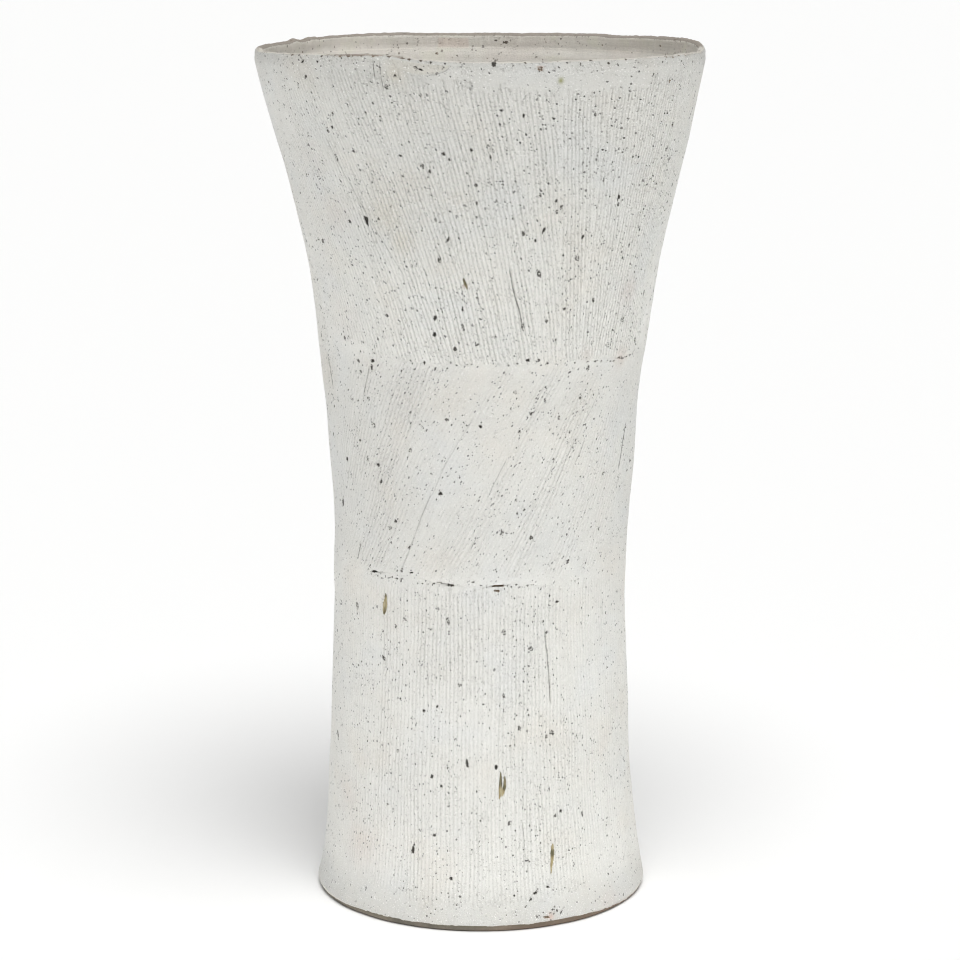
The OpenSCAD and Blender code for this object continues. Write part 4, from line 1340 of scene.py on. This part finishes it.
# ---------------------------------------------------------------------------
# Materials
# ---------------------------------------------------------------------------
class Nodes:
    """Short names for building a node tree."""

    def __init__(self, name):
        self.mat = bpy.data.materials.new(name)
        self.mat.use_nodes = True
        self.tree = self.mat.node_tree
        self.tree.nodes.clear()

    def node(self, kind, **props):
        n = self.tree.nodes.new(kind)
        for k, v in props.items():
            setattr(n, k, v)
        return n

    def link(self, a, b):
        self.tree.links.new(a, b)

    def put(self, socket, value):
        if isinstance(value, bpy.types.NodeSocket):
            self.link(value, socket)
        elif isinstance(value, (tuple, list)) and len(value) == 3 \
                and socket.type == "RGBA":
            socket.default_value = (*value, 1.0)
        else:
            socket.default_value = value

    def math(self, op, a, b=None, c=None, clamp=False):
        n = self.node("ShaderNodeMath", operation=op, use_clamp=clamp)
        self.put(n.inputs[0], a)
        if b is not None:
            self.put(n.inputs[1], b)
        if c is not None:
            self.put(n.inputs[2], c)
        return n.outputs[0]

    def mix(self, fac, a, b, blend="MIX"):
        n = self.node("ShaderNodeMix", data_type="RGBA", blend_type=blend)
        n.clamp_factor = True
        self.put(n.inputs[0], fac)
        self.put(n.inputs[6], a)
        self.put(n.inputs[7], b)
        return n.outputs[2]

    def ramp(self, x, lo, hi, a=0.0, b=1.0):
        n = self.node("ShaderNodeMapRange", interpolation_type="SMOOTHSTEP")
        self.put(n.inputs[0], x)
        n.inputs[1].default_value = lo
        n.inputs[2].default_value = hi
        n.inputs[3].default_value = a
        n.inputs[4].default_value = b
        return n.outputs[0]

    def attr(self, name):
        n = self.node("ShaderNodeAttribute", attribute_name=name)
        return n.outputs["Fac"]

    def coords(self, sx=1000.0, sy=1000.0, sz=1000.0):
        tc = self.node("ShaderNodeTexCoord")
        m = self.node("ShaderNodeVectorMath", operation="MULTIPLY")
        self.link(tc.outputs["Object"], m.inputs[0])
        m.inputs[1].default_value = (sx, sy, sz)
        return m.outputs[0]

    def shifted(self, vec, by):
        m = self.node("ShaderNodeVectorMath", operation="ADD")
        self.link(vec, m.inputs[0])
        self.put(m.inputs[1], by)
        return m.outputs[0]

    def noise(self, vec, scale, detail=2.0, rough=0.5, out="Fac"):
        n = self.node("ShaderNodeTexNoise")
        self.link(vec, n.inputs["Vector"])
        n.inputs["Scale"].default_value = scale
        n.inputs["Detail"].default_value = detail
        n.inputs["Roughness"].default_value = rough
        return n.outputs[out]

    def cells(self, vec, scale):
        n = self.node("ShaderNodeTexVoronoi", feature="F1")
        self.link(vec, n.inputs["Vector"])
        n.inputs["Scale"].default_value = scale
        n.inputs["Randomness"].default_value = 1.0
        sep = self.node("ShaderNodeSeparateColor")
        self.link(n.outputs["Color"], sep.inputs[0])
        return n.outputs["Distance"], sep.outputs[0], sep.outputs[1], \
            sep.outputs[2]

    def shader(self, color, rough, spec=0.3, normal=None):
        out = self.node("ShaderNodeOutputMaterial")
        p = self.node("ShaderNodeBsdfPrincipled")
        self.put(p.inputs["Base Color"], color)
        self.put(p.inputs["Roughness"], rough)
        p.inputs["Specular IOR Level"].default_value = spec
        if normal is not None:
            self.link(normal, p.inputs["Normal"])
        self.link(p.outputs[0], out.inputs[0])
        return self.mat


def wobble(n, vec, size, amount):
    """vec moved a little by noise, so that round cells become ragged."""
    c = n.noise(vec, 1.0 / size, 1.0, 0.5, "Color")
    m = n.node("ShaderNodeVectorMath", operation="SUBTRACT")
    n.link(c, m.inputs[0])
    m.inputs[1].default_value = (0.5, 0.5, 0.5)
    s = n.node("ShaderNodeVectorMath", operation="SCALE")
    n.link(m.outputs[0], s.inputs[0])
    s.inputs["Scale"].default_value = amount * 2.0
    return n.shifted(vec, s.outputs[0])


def specks(n, vec, size, r_lo, r_hi, share, soft=0.55, low=0.25, many=None):
    """0 to 1 mask of ragged specks. Radii are shares of the cell size, and
    many, from 0 to 1, thins them out."""
    d, a, b, c = n.cells(vec, 1.0 / size)
    rad = n.math("MULTIPLY_ADD", a, r_hi - r_lo, r_lo)
    ratio = n.math("DIVIDE", d, rad)
    m = n.ramp(ratio, 1.0, soft)
    if many is None:
        pick = n.ramp(b, 1.0 - share, 1.0 - share + 0.02)
    else:
        pick = n.ramp(n.math("MULTIPLY_ADD", many, share, b), 1.0, 1.01)
    dark = n.math("MULTIPLY_ADD", c, 1.0 - low, low)
    m = n.math("MULTIPLY", m, pick)
    return n.math("MULTIPLY", m, dark)


SLIP = (0.842, 0.837, 0.796)
SLIP_WARM = (0.842, 0.810, 0.745)
SLIP_COOL = (0.815, 0.825, 0.810)
CLAY_IN = (0.805, 0.780, 0.722)
CLAY_IN2 = (0.715, 0.685, 0.625)
FOOT_CLAY = (0.250, 0.218, 0.176)
FOOT_CLAY2 = (0.170, 0.155, 0.128)
DARK = (0.044, 0.040, 0.034)


def wall_material():
    n = Nodes("slipped_wall")
    mm = n.coords()
    at = n.node("ShaderNodeAttribute", attribute_name="comb_co")

    def along(k, by):
        # combing runs along the third axis here; k shortens it
        m = n.node("ShaderNodeVectorMath", operation="MULTIPLY")
        n.link(at.outputs["Vector"], m.inputs[0])
        m.inputs[1].default_value = (1000.0, 1000.0, 1000.0 * k)
        return n.shifted(m.outputs[0], by)

    def about(x, gain, base=0.0):
        return n.math("MULTIPLY_ADD", n.math("SUBTRACT", x, 0.5), gain, base)

    big = n.noise(mm, 1 / 55.0, 2.0, 0.55)
    mid = n.noise(n.shifted(mm, (31.0, 7.0, 3.0)), 1 / 14.0, 3.0, 0.6)
    fine = n.noise(n.shifted(mm, (5.0, 71.0, 13.0)), 1 / 2.6, 3.0, 0.65)
    grit = n.noise(n.shifted(mm, (15.0, 1.0, 43.0)), 1 / 0.75, 2.0, 0.6)
    hue = n.noise(n.shifted(mm, (91.0, 17.0, 41.0)), 1 / 38.0, 2.0, 0.5)
    drag = n.noise(along(0.22, (3.0, 8.0, 1.0)), 1 / 0.9, 2.0, 0.6)
    col = n.mix(n.ramp(hue, 0.50, 0.72, 0.0, 0.55), SLIP, SLIP_WARM)
    col = n.mix(n.ramp(hue, 0.50, 0.30, 0.0, 0.60), col, SLIP_COOL)
    comb = n.attr("comb")
    # distance from the middle of a groove: 0 there, 1 on the ridge
    teeth = n.math("ADD", n.attr("teeth"), about(fine, 0.45))
    teeth = n.math("ADD", teeth, about(grit, 0.42))
    part = n.math("SUBTRACT", n.math("FRACT", n.math("ADD", teeth, 0.5)), 0.5)
    off = n.math("MULTIPLY", n.math("ABSOLUTE", part), 2.0)
    floor_m = n.ramp(off, 0.66, 0.08)
    ridge_highlight = n.ramp(off, 0.55, 1.0)
    tone = n.math("MULTIPLY_ADD", big, 0.07, 0.965)
    tone = n.math("ADD", tone, about(mid, 0.15))
    # the grain is strong where the scraper pressed and calm elsewhere
    calm = n.math("MULTIPLY_ADD", n.math("DIVIDE", n.attr("press"), 0.85,
                                         clamp=True), 0.62, 0.38)
    grain = n.math("ADD", about(fine, 0.16), about(grit, 0.26))
    grain = n.math("ADD", grain, about(drag, 0.22))
    tone = n.math("MULTIPLY_ADD", grain, calm, tone)
    # painted highlight: the ridges between the grooves are made a little lighter
    tone = n.math("MULTIPLY_ADD", n.math("MULTIPLY", ridge_highlight, comb), 0.035, tone)
    # painted shade: the slip is made darker up the flare towards the lip, where
    # it faces down, and darker near the foot by the floor
    sep = n.node("ShaderNodeSeparateXYZ")
    n.link(mm, sep.inputs[0])
    high = n.ramp(sep.outputs[2], 320.0, 430.0)
    top = n.ramp(sep.outputs[2], 427.0, 446.0)
    low = n.ramp(sep.outputs[2], 32.0, 3.0)
    tone = n.math("MULTIPLY", tone, n.math("MULTIPLY_ADD", high, -0.07, 1.0))
    tone = n.math("MULTIPLY", tone, n.math("MULTIPLY_ADD", top, -0.11, 1.0))
    tone = n.math("MULTIPLY", tone, n.math("MULTIPLY_ADD", low, -0.20, 1.0))
    pale_foot = n.math("MULTIPLY", n.ramp(sep.outputs[2], 290.0, 302.0),
                       n.ramp(sep.outputs[2], 375.0, 340.0))
    tone = n.math("MULTIPLY", tone,
                  n.math("MULTIPLY_ADD", pale_foot, 0.018, 1.0))
    # the middle section is a little greyer than the two others
    belt = n.math("MULTIPLY", n.ramp(sep.outputs[2], 172.0, 190.0),
                  n.ramp(sep.outputs[2], 306.0, 284.0))
    tone = n.math("MULTIPLY", tone, n.math("MULTIPLY_ADD", belt, -0.046, 1.0))
    val = n.node("ShaderNodeHueSaturation")
    n.put(val.inputs["Value"], tone)
    n.put(val.inputs["Color"], col)
    col = val.outputs[0]
    # stains
    col = n.mix(n.attr("pink"), col, (0.66, 0.50, 0.43))
    col = n.mix(n.attr("ochre"), col, (0.66, 0.56, 0.38))
    col = n.mix(n.attr("olive"), col, (0.30, 0.30, 0.10))
    rust = n.attr("rust")
    ragged = n.math("ADD", rust, about(fine, 0.8))
    col = n.mix(n.ramp(ragged, 0.25, 0.75, 0.0, 0.85), col, (0.36, 0.22, 0.15))
    # painted shade in the groove floors: they are made greyer, with a little
    # dirt and thinner slip there as well
    patchy = about(mid, 1.2, 0.74)
    patchy = n.math("ADD", patchy, about(drag, 1.5))
    patchy = n.math("ADD", patchy, about(grit, 1.1))
    patchy = n.math("MAXIMUM", n.math("MINIMUM", patchy, 1.15), 0.15)
    g = n.math("MULTIPLY", n.math("MULTIPLY", floor_m, comb), patchy)
    col = n.mix(n.math("MULTIPLY", g, 0.42), col, (0.42, 0.408, 0.38))
    # specks of grog and iron, most of them dragged along the combing
    dens = n.noise(n.shifted(mm, (3.0, 9.0, 57.0)), 1 / 20.0, 3.0, 0.6)
    dens = n.ramp(dens, 0.34, 0.66, 0.30, 1.0)
    busy = n.math("MAXIMUM", calm, n.math("MULTIPLY", n.attr("grit"), 1.3))
    many = n.math("MULTIPLY", dens, n.math("MULTIPLY_ADD", busy, 0.35, 0.7))
    # here and there they lie close together
    flock = n.noise(n.shifted(mm, (63.0, 29.0, 7.0)), 1 / 3.4, 1.0, 0.5)
    many = n.math("MULTIPLY", many, n.ramp(flock, 0.52, 0.70, 0.66, 3.6))
    many = n.math("MULTIPLY", many,
                  n.ramp(sep.outputs[2], 150.0, 200.0, 0.80, 1.0))
    v0 = wobble(n, along(0.70, (7.0, 3.0, 2.0)), 0.50, 0.24)
    s0 = specks(n, v0, 1.20, 0.23, 0.38, 0.27, 0.86, 0.35, many)
    v1 = wobble(n, along(0.75, (117.0, 3.0, 62.0)), 0.55, 0.30)
    s1 = specks(n, v1, 2.3, 0.13, 0.245, 0.29, 0.86, 0.50, many)
    v2 = wobble(n, along(0.80, (211.0, 37.0, 5.0)), 0.65, 0.50)
    s2 = specks(n, v2, 5.2, 0.08, 0.150, 0.28, 0.86, 0.60, many)
    s2 = n.math("MULTIPLY", s2, n.ramp(grit, 0.30, 0.45, 0.35, 1.0))
    v3 = wobble(n, along(0.85, (57.0, 137.0, 85.0)), 0.8, 0.7)
    s3 = specks(n, v3, 13.0, 0.035, 0.070, 0.35, 0.75, 0.5)
    s3 = n.math("MULTIPLY", s3, n.ramp(grit, 0.32, 0.46, 0.2, 1.0))
    # the lower rim of a little hole catches the light
    lit = specks(n, n.shifted(v0, (0.06, 0.06, 0.27)), 1.20, 0.23, 0.38, 0.34,
                 0.84, 0.50, many)
    # clusters of tiny torn spots, dark ones with pale crumbs between; the pale
    # crumbs are raised a little and painted bright as highlights
    tear = n.noise(along(0.75, (41.0, 3.0, 9.0)), 1 / 0.95, 1.0, 0.5)
    salt = n.noise(along(0.85, (19.0, 73.0, 31.0)), 1 / 0.62, 0.0, 0.5)
    lift = n.math("MULTIPLY_ADD", n.math("SUBTRACT", busy, 0.7), 0.10, tear)
    torn = n.ramp(lift, 0.650, 0.715)
    pale = n.ramp(salt, 0.690, 0.76)
    dirt = n.ramp(salt, 0.270, 0.20)
    col = n.mix(n.math("MULTIPLY", pale, 0.75), col, (0.985, 0.975, 0.950))
    col = n.mix(n.math("MULTIPLY", lit, 0.85), col, (0.985, 0.975, 0.950))
    col = n.mix(n.math("MULTIPLY", n.math("MULTIPLY", dirt, busy), 0.46), col,
                (0.34, 0.33, 0.30))
    col = n.mix(n.math("MULTIPLY", n.math("MULTIPLY", torn, busy), 0.34), col,
                (0.26, 0.25, 0.225))
    col = n.mix(n.math("MULTIPLY", s0, 0.98), col, (0.040, 0.037, 0.031))
    col = n.mix(n.math("MULTIPLY", s1, 0.98), col, (0.040, 0.037, 0.031))
    col = n.mix(n.math("MULTIPLY", s2, 0.98), col, (0.044, 0.040, 0.034))
    col = n.mix(n.math("MULTIPLY", s3, 0.95), col, DARK)
    # rough edges of the joints, cut lines, then pits
    line = n.math("ADD", n.attr("line"), about(fine, 0.7))
    line = n.math("ADD", line, about(grit, 0.6))
    col = n.mix(n.ramp(line, 0.22, 0.85, 0.0, 0.72), col, (0.13, 0.12, 0.10))
    cut = n.math("ABSOLUTE", n.math("ADD", n.attr("cut"), about(grit, 2.2)))
    cut = n.math("MULTIPLY", n.ramp(cut, 1.35, 0.45), n.attr("cut_w"))
    cut = n.math("MULTIPLY", cut, about(fine, 2.0, 0.95), clamp=True)
    col = n.mix(n.math("MULTIPLY", cut, 0.92), col, (0.11, 0.104, 0.088))
    mark = n.math("ADD", n.attr("mark"), about(fine, 1.1))
    mark = n.math("ADD", mark, about(grit, 2.2))
    deep = n.attr("deep")
    brown = n.attr("brown")
    ring = n.math("MULTIPLY", n.ramp(mark, -0.35, 0.05, 0.0, 0.34), deep)
    col = n.mix(ring, col, n.mix(brown, (0.40, 0.38, 0.34),
                                 (0.62, 0.53, 0.41)))
    pit = n.ramp(mark, -0.04, 0.12)
    pitcol = n.mix(brown, DARK, (0.205, 0.135, 0.080))
    pitcol = n.mix(n.ramp(grit, 0.54, 0.68, 0.0, 0.45), pitcol,
                   (0.20, 0.187, 0.162))
    whole = n.ramp(deep, 0.78, 0.98)
    crumbs = n.math("MAXIMUM", whole, n.ramp(grit, 0.44, 0.53))
    pit = n.math("MULTIPLY", n.math("MULTIPLY", pit, crumbs), 0.96)
    col = n.mix(pit, col, pitcol)
    # splinter scars: tan wood-coloured grooves with long fine grain
    grainvec = n.coords(1000.0, 1000.0, 90.0)
    grain = n.noise(grainvec, 1 / 0.55, 2.0, 0.6)
    scar = n.math("ADD", n.attr("scar"), about(grit, 0.6))
    tan = n.mix(n.ramp(grain, 0.38, 0.62), (0.40, 0.335, 0.185),
                (0.60, 0.525, 0.340))
    olive = n.mix(n.ramp(grain, 0.38, 0.62), (0.125, 0.112, 0.064),
                  (0.265, 0.240, 0.145))
    shade = n.math("ADD", n.attr("shade"), about(fine, 0.8))
    tan = n.mix(n.ramp(shade, 0.15, 0.85), tan, olive)
    col = n.mix(n.ramp(scar, -0.10, 0.14), col, tan)
    # bare clay inside, with level bands, and a worn line along the lip; the back
    # of the lip is darkened as painted shade
    bare = n.attr("bare")
    bands = n.coords(25.0, 25.0, 1000.0)
    band = n.noise(bands, 1 / 3.2, 3.0, 0.6)
    clay = n.mix(n.ramp(band, 0.32, 0.68), CLAY_IN2, CLAY_IN)
    clay = n.mix(n.ramp(hue, 0.45, 0.62, 0.0, 0.45), clay, (0.76, 0.705, 0.650))
    clay = n.mix(n.ramp(mid, 0.50, 0.64, 0.0, 0.35), clay, (0.70, 0.70, 0.585))
    clay = n.mix(n.math("MULTIPLY", s0, 0.75), clay, (0.20, 0.17, 0.14))
    clay = n.mix(n.math("MULTIPLY", s1, 0.85), clay, (0.13, 0.11, 0.09))
    clay = n.mix(n.math("MULTIPLY", s2, 0.92), clay, (0.08, 0.07, 0.06))
    clay = n.mix(n.math("MULTIPLY", s3, 0.9), clay, DARK)
    clay = n.mix(n.attr("pink"), clay, (0.70, 0.60, 0.54))
    thin_band = n.noise(n.coords(14.0, 14.0, 1000.0), 1 / 1.0, 2.0, 0.6)
    # painted light: the bare clay inside is made lighter towards the lip and
    # darker further down, besides its level bands
    lit_in = n.ramp(sep.outputs[2], 436.0, 447.5, 0.82, 1.08)
    lit_in = n.math("ADD", lit_in, about(thin_band, 0.20))
    lit_in = n.math("ADD", lit_in, about(mid, 0.22))
    lit_in = n.math("ADD", lit_in, n.ramp(sep.outputs[2], 441.8, 442.2, 0.03,
                                          -0.03))
    lit_in = n.math("ADD", lit_in, n.math(
        "MULTIPLY", n.ramp(sep.outputs[2], 441.5, 441.8),
        n.ramp(sep.outputs[2], 442.3, 442.0, 0.0, 0.07)))
    hsv = n.node("ShaderNodeHueSaturation")
    n.put(hsv.inputs["Value"], n.math("ADD", lit_in, about(fine, 0.22)))
    n.put(hsv.inputs["Color"], clay)
    clay = n.mix(pit, hsv.outputs[0], pitcol)
    edge = n.math("ADD", bare, about(mid, 0.7))
    col = n.mix(n.ramp(edge, 0.35, 0.65), col, clay)
    col = n.mix(n.attr("thin"), col, (0.715, 0.712, 0.705), "MULTIPLY")
    # painted shade and wear: the back of the lip darkened as shade, the front
    # worn along the lip
    lip_wear_and_shade = n.math("ADD", n.attr("lip_wear_and_shade"), about(fine, 0.9))
    lip_wear_and_shade = n.math("ADD", lip_wear_and_shade, about(grit, 0.6))
    col = n.mix(n.ramp(lip_wear_and_shade, 0.25, 0.75, 0.0, 0.85), col, (0.27, 0.235, 0.20))
    # finish: chalky, with grain and little pits raised and sunk
    rough = n.math("MULTIPLY_ADD", mid, 0.14, 0.80)
    sunk = n.math("MAXIMUM", n.math("MAXIMUM", s0, s1), s2)
    sunk = n.math("MAXIMUM", sunk, n.math("MULTIPLY", torn, 0.8))
    height = about(grit, 1.5, 0.0)
    height = n.math("SUBTRACT", height, n.math("MULTIPLY", sunk, 1.2))
    height = n.math("ADD", height, about(drag, 1.2))
    height = n.math("MULTIPLY_ADD", pale, 0.5, height)
    height = n.math("SUBTRACT", height,
                    n.math("MULTIPLY", n.math("MULTIPLY", floor_m, comb), 0.5))
    bump = n.node("ShaderNodeBump")
    bump.inputs["Strength"].default_value = 0.9
    bump.inputs["Distance"].default_value = 0.00024
    n.link(height, bump.inputs["Height"])
    return n.shader(col, rough, 0.28, bump.outputs[0])


def clay_material(name, light, dark, speck, coated=False):
    n = Nodes(name)
    mm = n.coords()
    big = n.noise(mm, 1 / 22.0, 3.0, 0.6)
    fine = n.noise(n.shifted(mm, (9.0, 4.0, 61.0)), 1 / 1.6, 3.0, 0.6)
    col = n.mix(n.ramp(big, 0.35, 0.65), dark, light)
    tone = n.math("MULTIPLY_ADD", fine, 0.44, 0.78)
    val = n.node("ShaderNodeHueSaturation")
    n.put(val.inputs["Value"], tone)
    n.put(val.inputs["Color"], col)
    col = val.outputs[0]
    v1 = wobble(n, mm, 0.8, 0.22)
    s1 = specks(n, v1, 2.0, 0.08, 0.20, 0.7)
    v2 = wobble(n, n.shifted(mm, (211.0, 37.0, 5.0)), 1.2, 0.35)
    s2 = specks(n, v2, 5.0, 0.06, 0.15, 0.7)
    col = n.mix(n.math("MULTIPLY", s1, 0.6), col, speck)
    col = n.mix(n.math("MULTIPLY", s2, 0.8), col, DARK)
    pale = specks(n, n.shifted(v1, (71.0, 3.0, 8.0)), 3.0, 0.06, 0.16, 0.5)
    col = n.mix(n.math("MULTIPLY", pale, 0.5), col, (0.62, 0.58, 0.52))
    if coated:
        col = n.mix(n.math("MULTIPLY", n.attr("rust"), 0.55), col,
                    (0.285, 0.185, 0.125))
        col = n.mix(n.math("MULTIPLY", n.attr("olive"), 0.6), col,
                    (0.150, 0.150, 0.095))
        coat = n.math("MULTIPLY_ADD", n.math("SUBTRACT", fine, 0.5), 2.4,
                      n.attr("coat"))
        col = n.mix(n.ramp(coat, 0.1, 0.9), col, (0.70, 0.685, 0.640))
    rough = n.math("MULTIPLY_ADD", fine, 0.16, 0.80)
    bump = n.node("ShaderNodeBump")
    bump.inputs["Strength"].default_value = 0.35
    bump.inputs["Distance"].default_value = 0.0003
    n.link(fine, bump.inputs["Height"])
    return n.shader(col, rough, 0.25, bump.outputs[0])


# ---------------------------------------------------------------------------
# Build the pieces
# ---------------------------------------------------------------------------
def rows_between(mm_tall, step, dense_lo, dense_hi):
    """Row positions from 0 to 1, closer together near either end."""
    n = int(mm_tall / step)
    t = np.linspace(0, 1, n + 1)
    lo = np.linspace(0, 1, 9)[1:-1] ** 1.0 * 4.0 / mm_tall
    if dense_lo:
        t = np.concatenate([t, lo])
    if dense_hi:
        t = np.concatenate([t, 1 - lo])
    return np.unique(np.round(t, 6))


slip_mat = wall_material()
inner_mat = clay_material("inner_clay", CLAY_IN, CLAY_IN2, (0.22, 0.19, 0.17))
foot_mat = clay_material("foot_clay", FOOT_CLAY, FOOT_CLAY2,
                         (0.08, 0.07, 0.06), True)

pieces = []


def finish_piece(ob, mat, node):
    ob.data.materials.append(mat)
    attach(ob, "root")
    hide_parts(node)
    pieces.append(ob)
    return ob


lower = wall("lower_wall_slipped", "lower", 1560,
             rows_between(LOWER_Z - SLAB_EDGE, 0.78, True, True),
             "slab", "lower")
middle = wall("middle_wall_slipped", "middle", 1560,
              rows_between(UPPER_Z - LOWER_Z, 0.78, True, True),
              "lower", "upper")
upper = wall("upper_wall_slipped", "upper", 1920,
             rows_between(TOTAL_H - UPPER_Z, 0.78, True, True),
             "upper", "lip")
for ob, node in ((lower, "lower_wall"), (middle, "middle_wall"),
                 (upper, "upper_wall")):
    flip_out(ob)
    finish_piece(ob, slip_mat, node)

finish_piece(slab(), foot_mat, "floor_slab")
finish_piece(coil("floor_coil_clay", 0, 0, "floor"), inner_mat, "floor_coil")
finish_piece(coil("lower_joint_coil_clay", LOWER_Z + SCARF_RISE - COIL_HALF,
                  LOWER_Z + SCARF_RISE + COIL_HALF, "joint"), inner_mat,
             "lower_joint_coil")
finish_piece(coil("upper_joint_coil_clay", UPPER_Z + SCARF_RISE - COIL_HALF,
                  UPPER_Z + SCARF_RISE + COIL_HALF, "joint"), inner_mat,
             "upper_joint_coil")

# ---------------------------------------------------------------------------
# Floor, light and camera
# ---------------------------------------------------------------------------
scene = bpy.context.scene


def floor():
    me = bpy.data.meshes.new("floor")
    s = 14.0
    me.from_pydata([(-s, -s, 0), (s, -s, 0), (s, s, 0), (-s, s, 0)], [],
                   [(0, 1, 2, 3)])
    ob = bpy.data.objects.new("floor", me)
    scene.collection.objects.link(ob)
    n = Nodes("pale_floor")
    ob.data.materials.append(n.shader((0.92, 0.92, 0.915), 0.9, 0.1))
    return ob


floor()

world = bpy.data.worlds.new("soft_studio")
scene.world = world
world.use_nodes = True
wt = world.node_tree
bg = wt.nodes["Background"]
# a pale wall all round the horizon, and a dim ceiling above it
tc = wt.nodes.new("ShaderNodeTexCoord")
sep = wt.nodes.new("ShaderNodeSeparateXYZ")
ramp = wt.nodes.new("ShaderNodeMapRange")
ramp.interpolation_type = "SMOOTHSTEP"
ramp.inputs[1].default_value = 0.12
ramp.inputs[2].default_value = 0.30
ramp.inputs[3].default_value = 0.955
ramp.inputs[4].default_value = 0.10
wt.links.new(tc.outputs["Generated"], sep.inputs[0])
wt.links.new(sep.outputs[2], ramp.inputs[0])
wt.links.new(ramp.outputs[0], bg.inputs[1])
bg.inputs[0].default_value = (1.0, 1.0, 0.995, 1.0)


def sun(name, elevation, azimuth, spread, amount, color=(1, 1, 1)):
    """A large soft light. Azimuth 0 is in front (-Y), 90 towards +X."""
    data = bpy.data.lights.new(name, "SUN")
    data.angle = math.radians(spread)
    data.energy = amount * math.pi
    data.color = color
    ob = bpy.data.objects.new(name, data)
    scene.collection.objects.link(ob)
    e, a = math.radians(elevation), math.radians(azimuth)
    from mathutils import Vector
    d = Vector((math.sin(a) * math.cos(e), -math.cos(a) * math.cos(e),
                math.sin(e)))
    ob.location = d * 3.0
    ob.rotation_euler = d.to_track_quat("Z", "Y").to_euler()
    return ob


sun("overhead", 69.0, 12.0, 40.0, 0.92)
sun("left", 32.0, -105.0, 50.0, 0.10)
sun("right", 32.0, 98.0, 50.0, 0.07)

cam_data = bpy.data.cameras.new("camera")
cam = bpy.data.objects.new("camera", cam_data)
scene.collection.objects.link(cam)
cam_data.sensor_width = 36.0
cam_data.lens = 113.48
cam_data.clip_end = 60.0
cam.location = (-0.0005, -1.575, 0.55105)
cam.rotation_euler = (math.radians(90.0 - 11.837), 0.0, 0.0)
scene.camera = cam

scene.cycles.filter_width = 1.1
scene.view_settings.view_transform = "Standard"
scene.view_settings.look = "None"
scene.view_settings.exposure = 0.0
scene.view_settings.gamma = 1.0

bpy.context.view_layer.update()
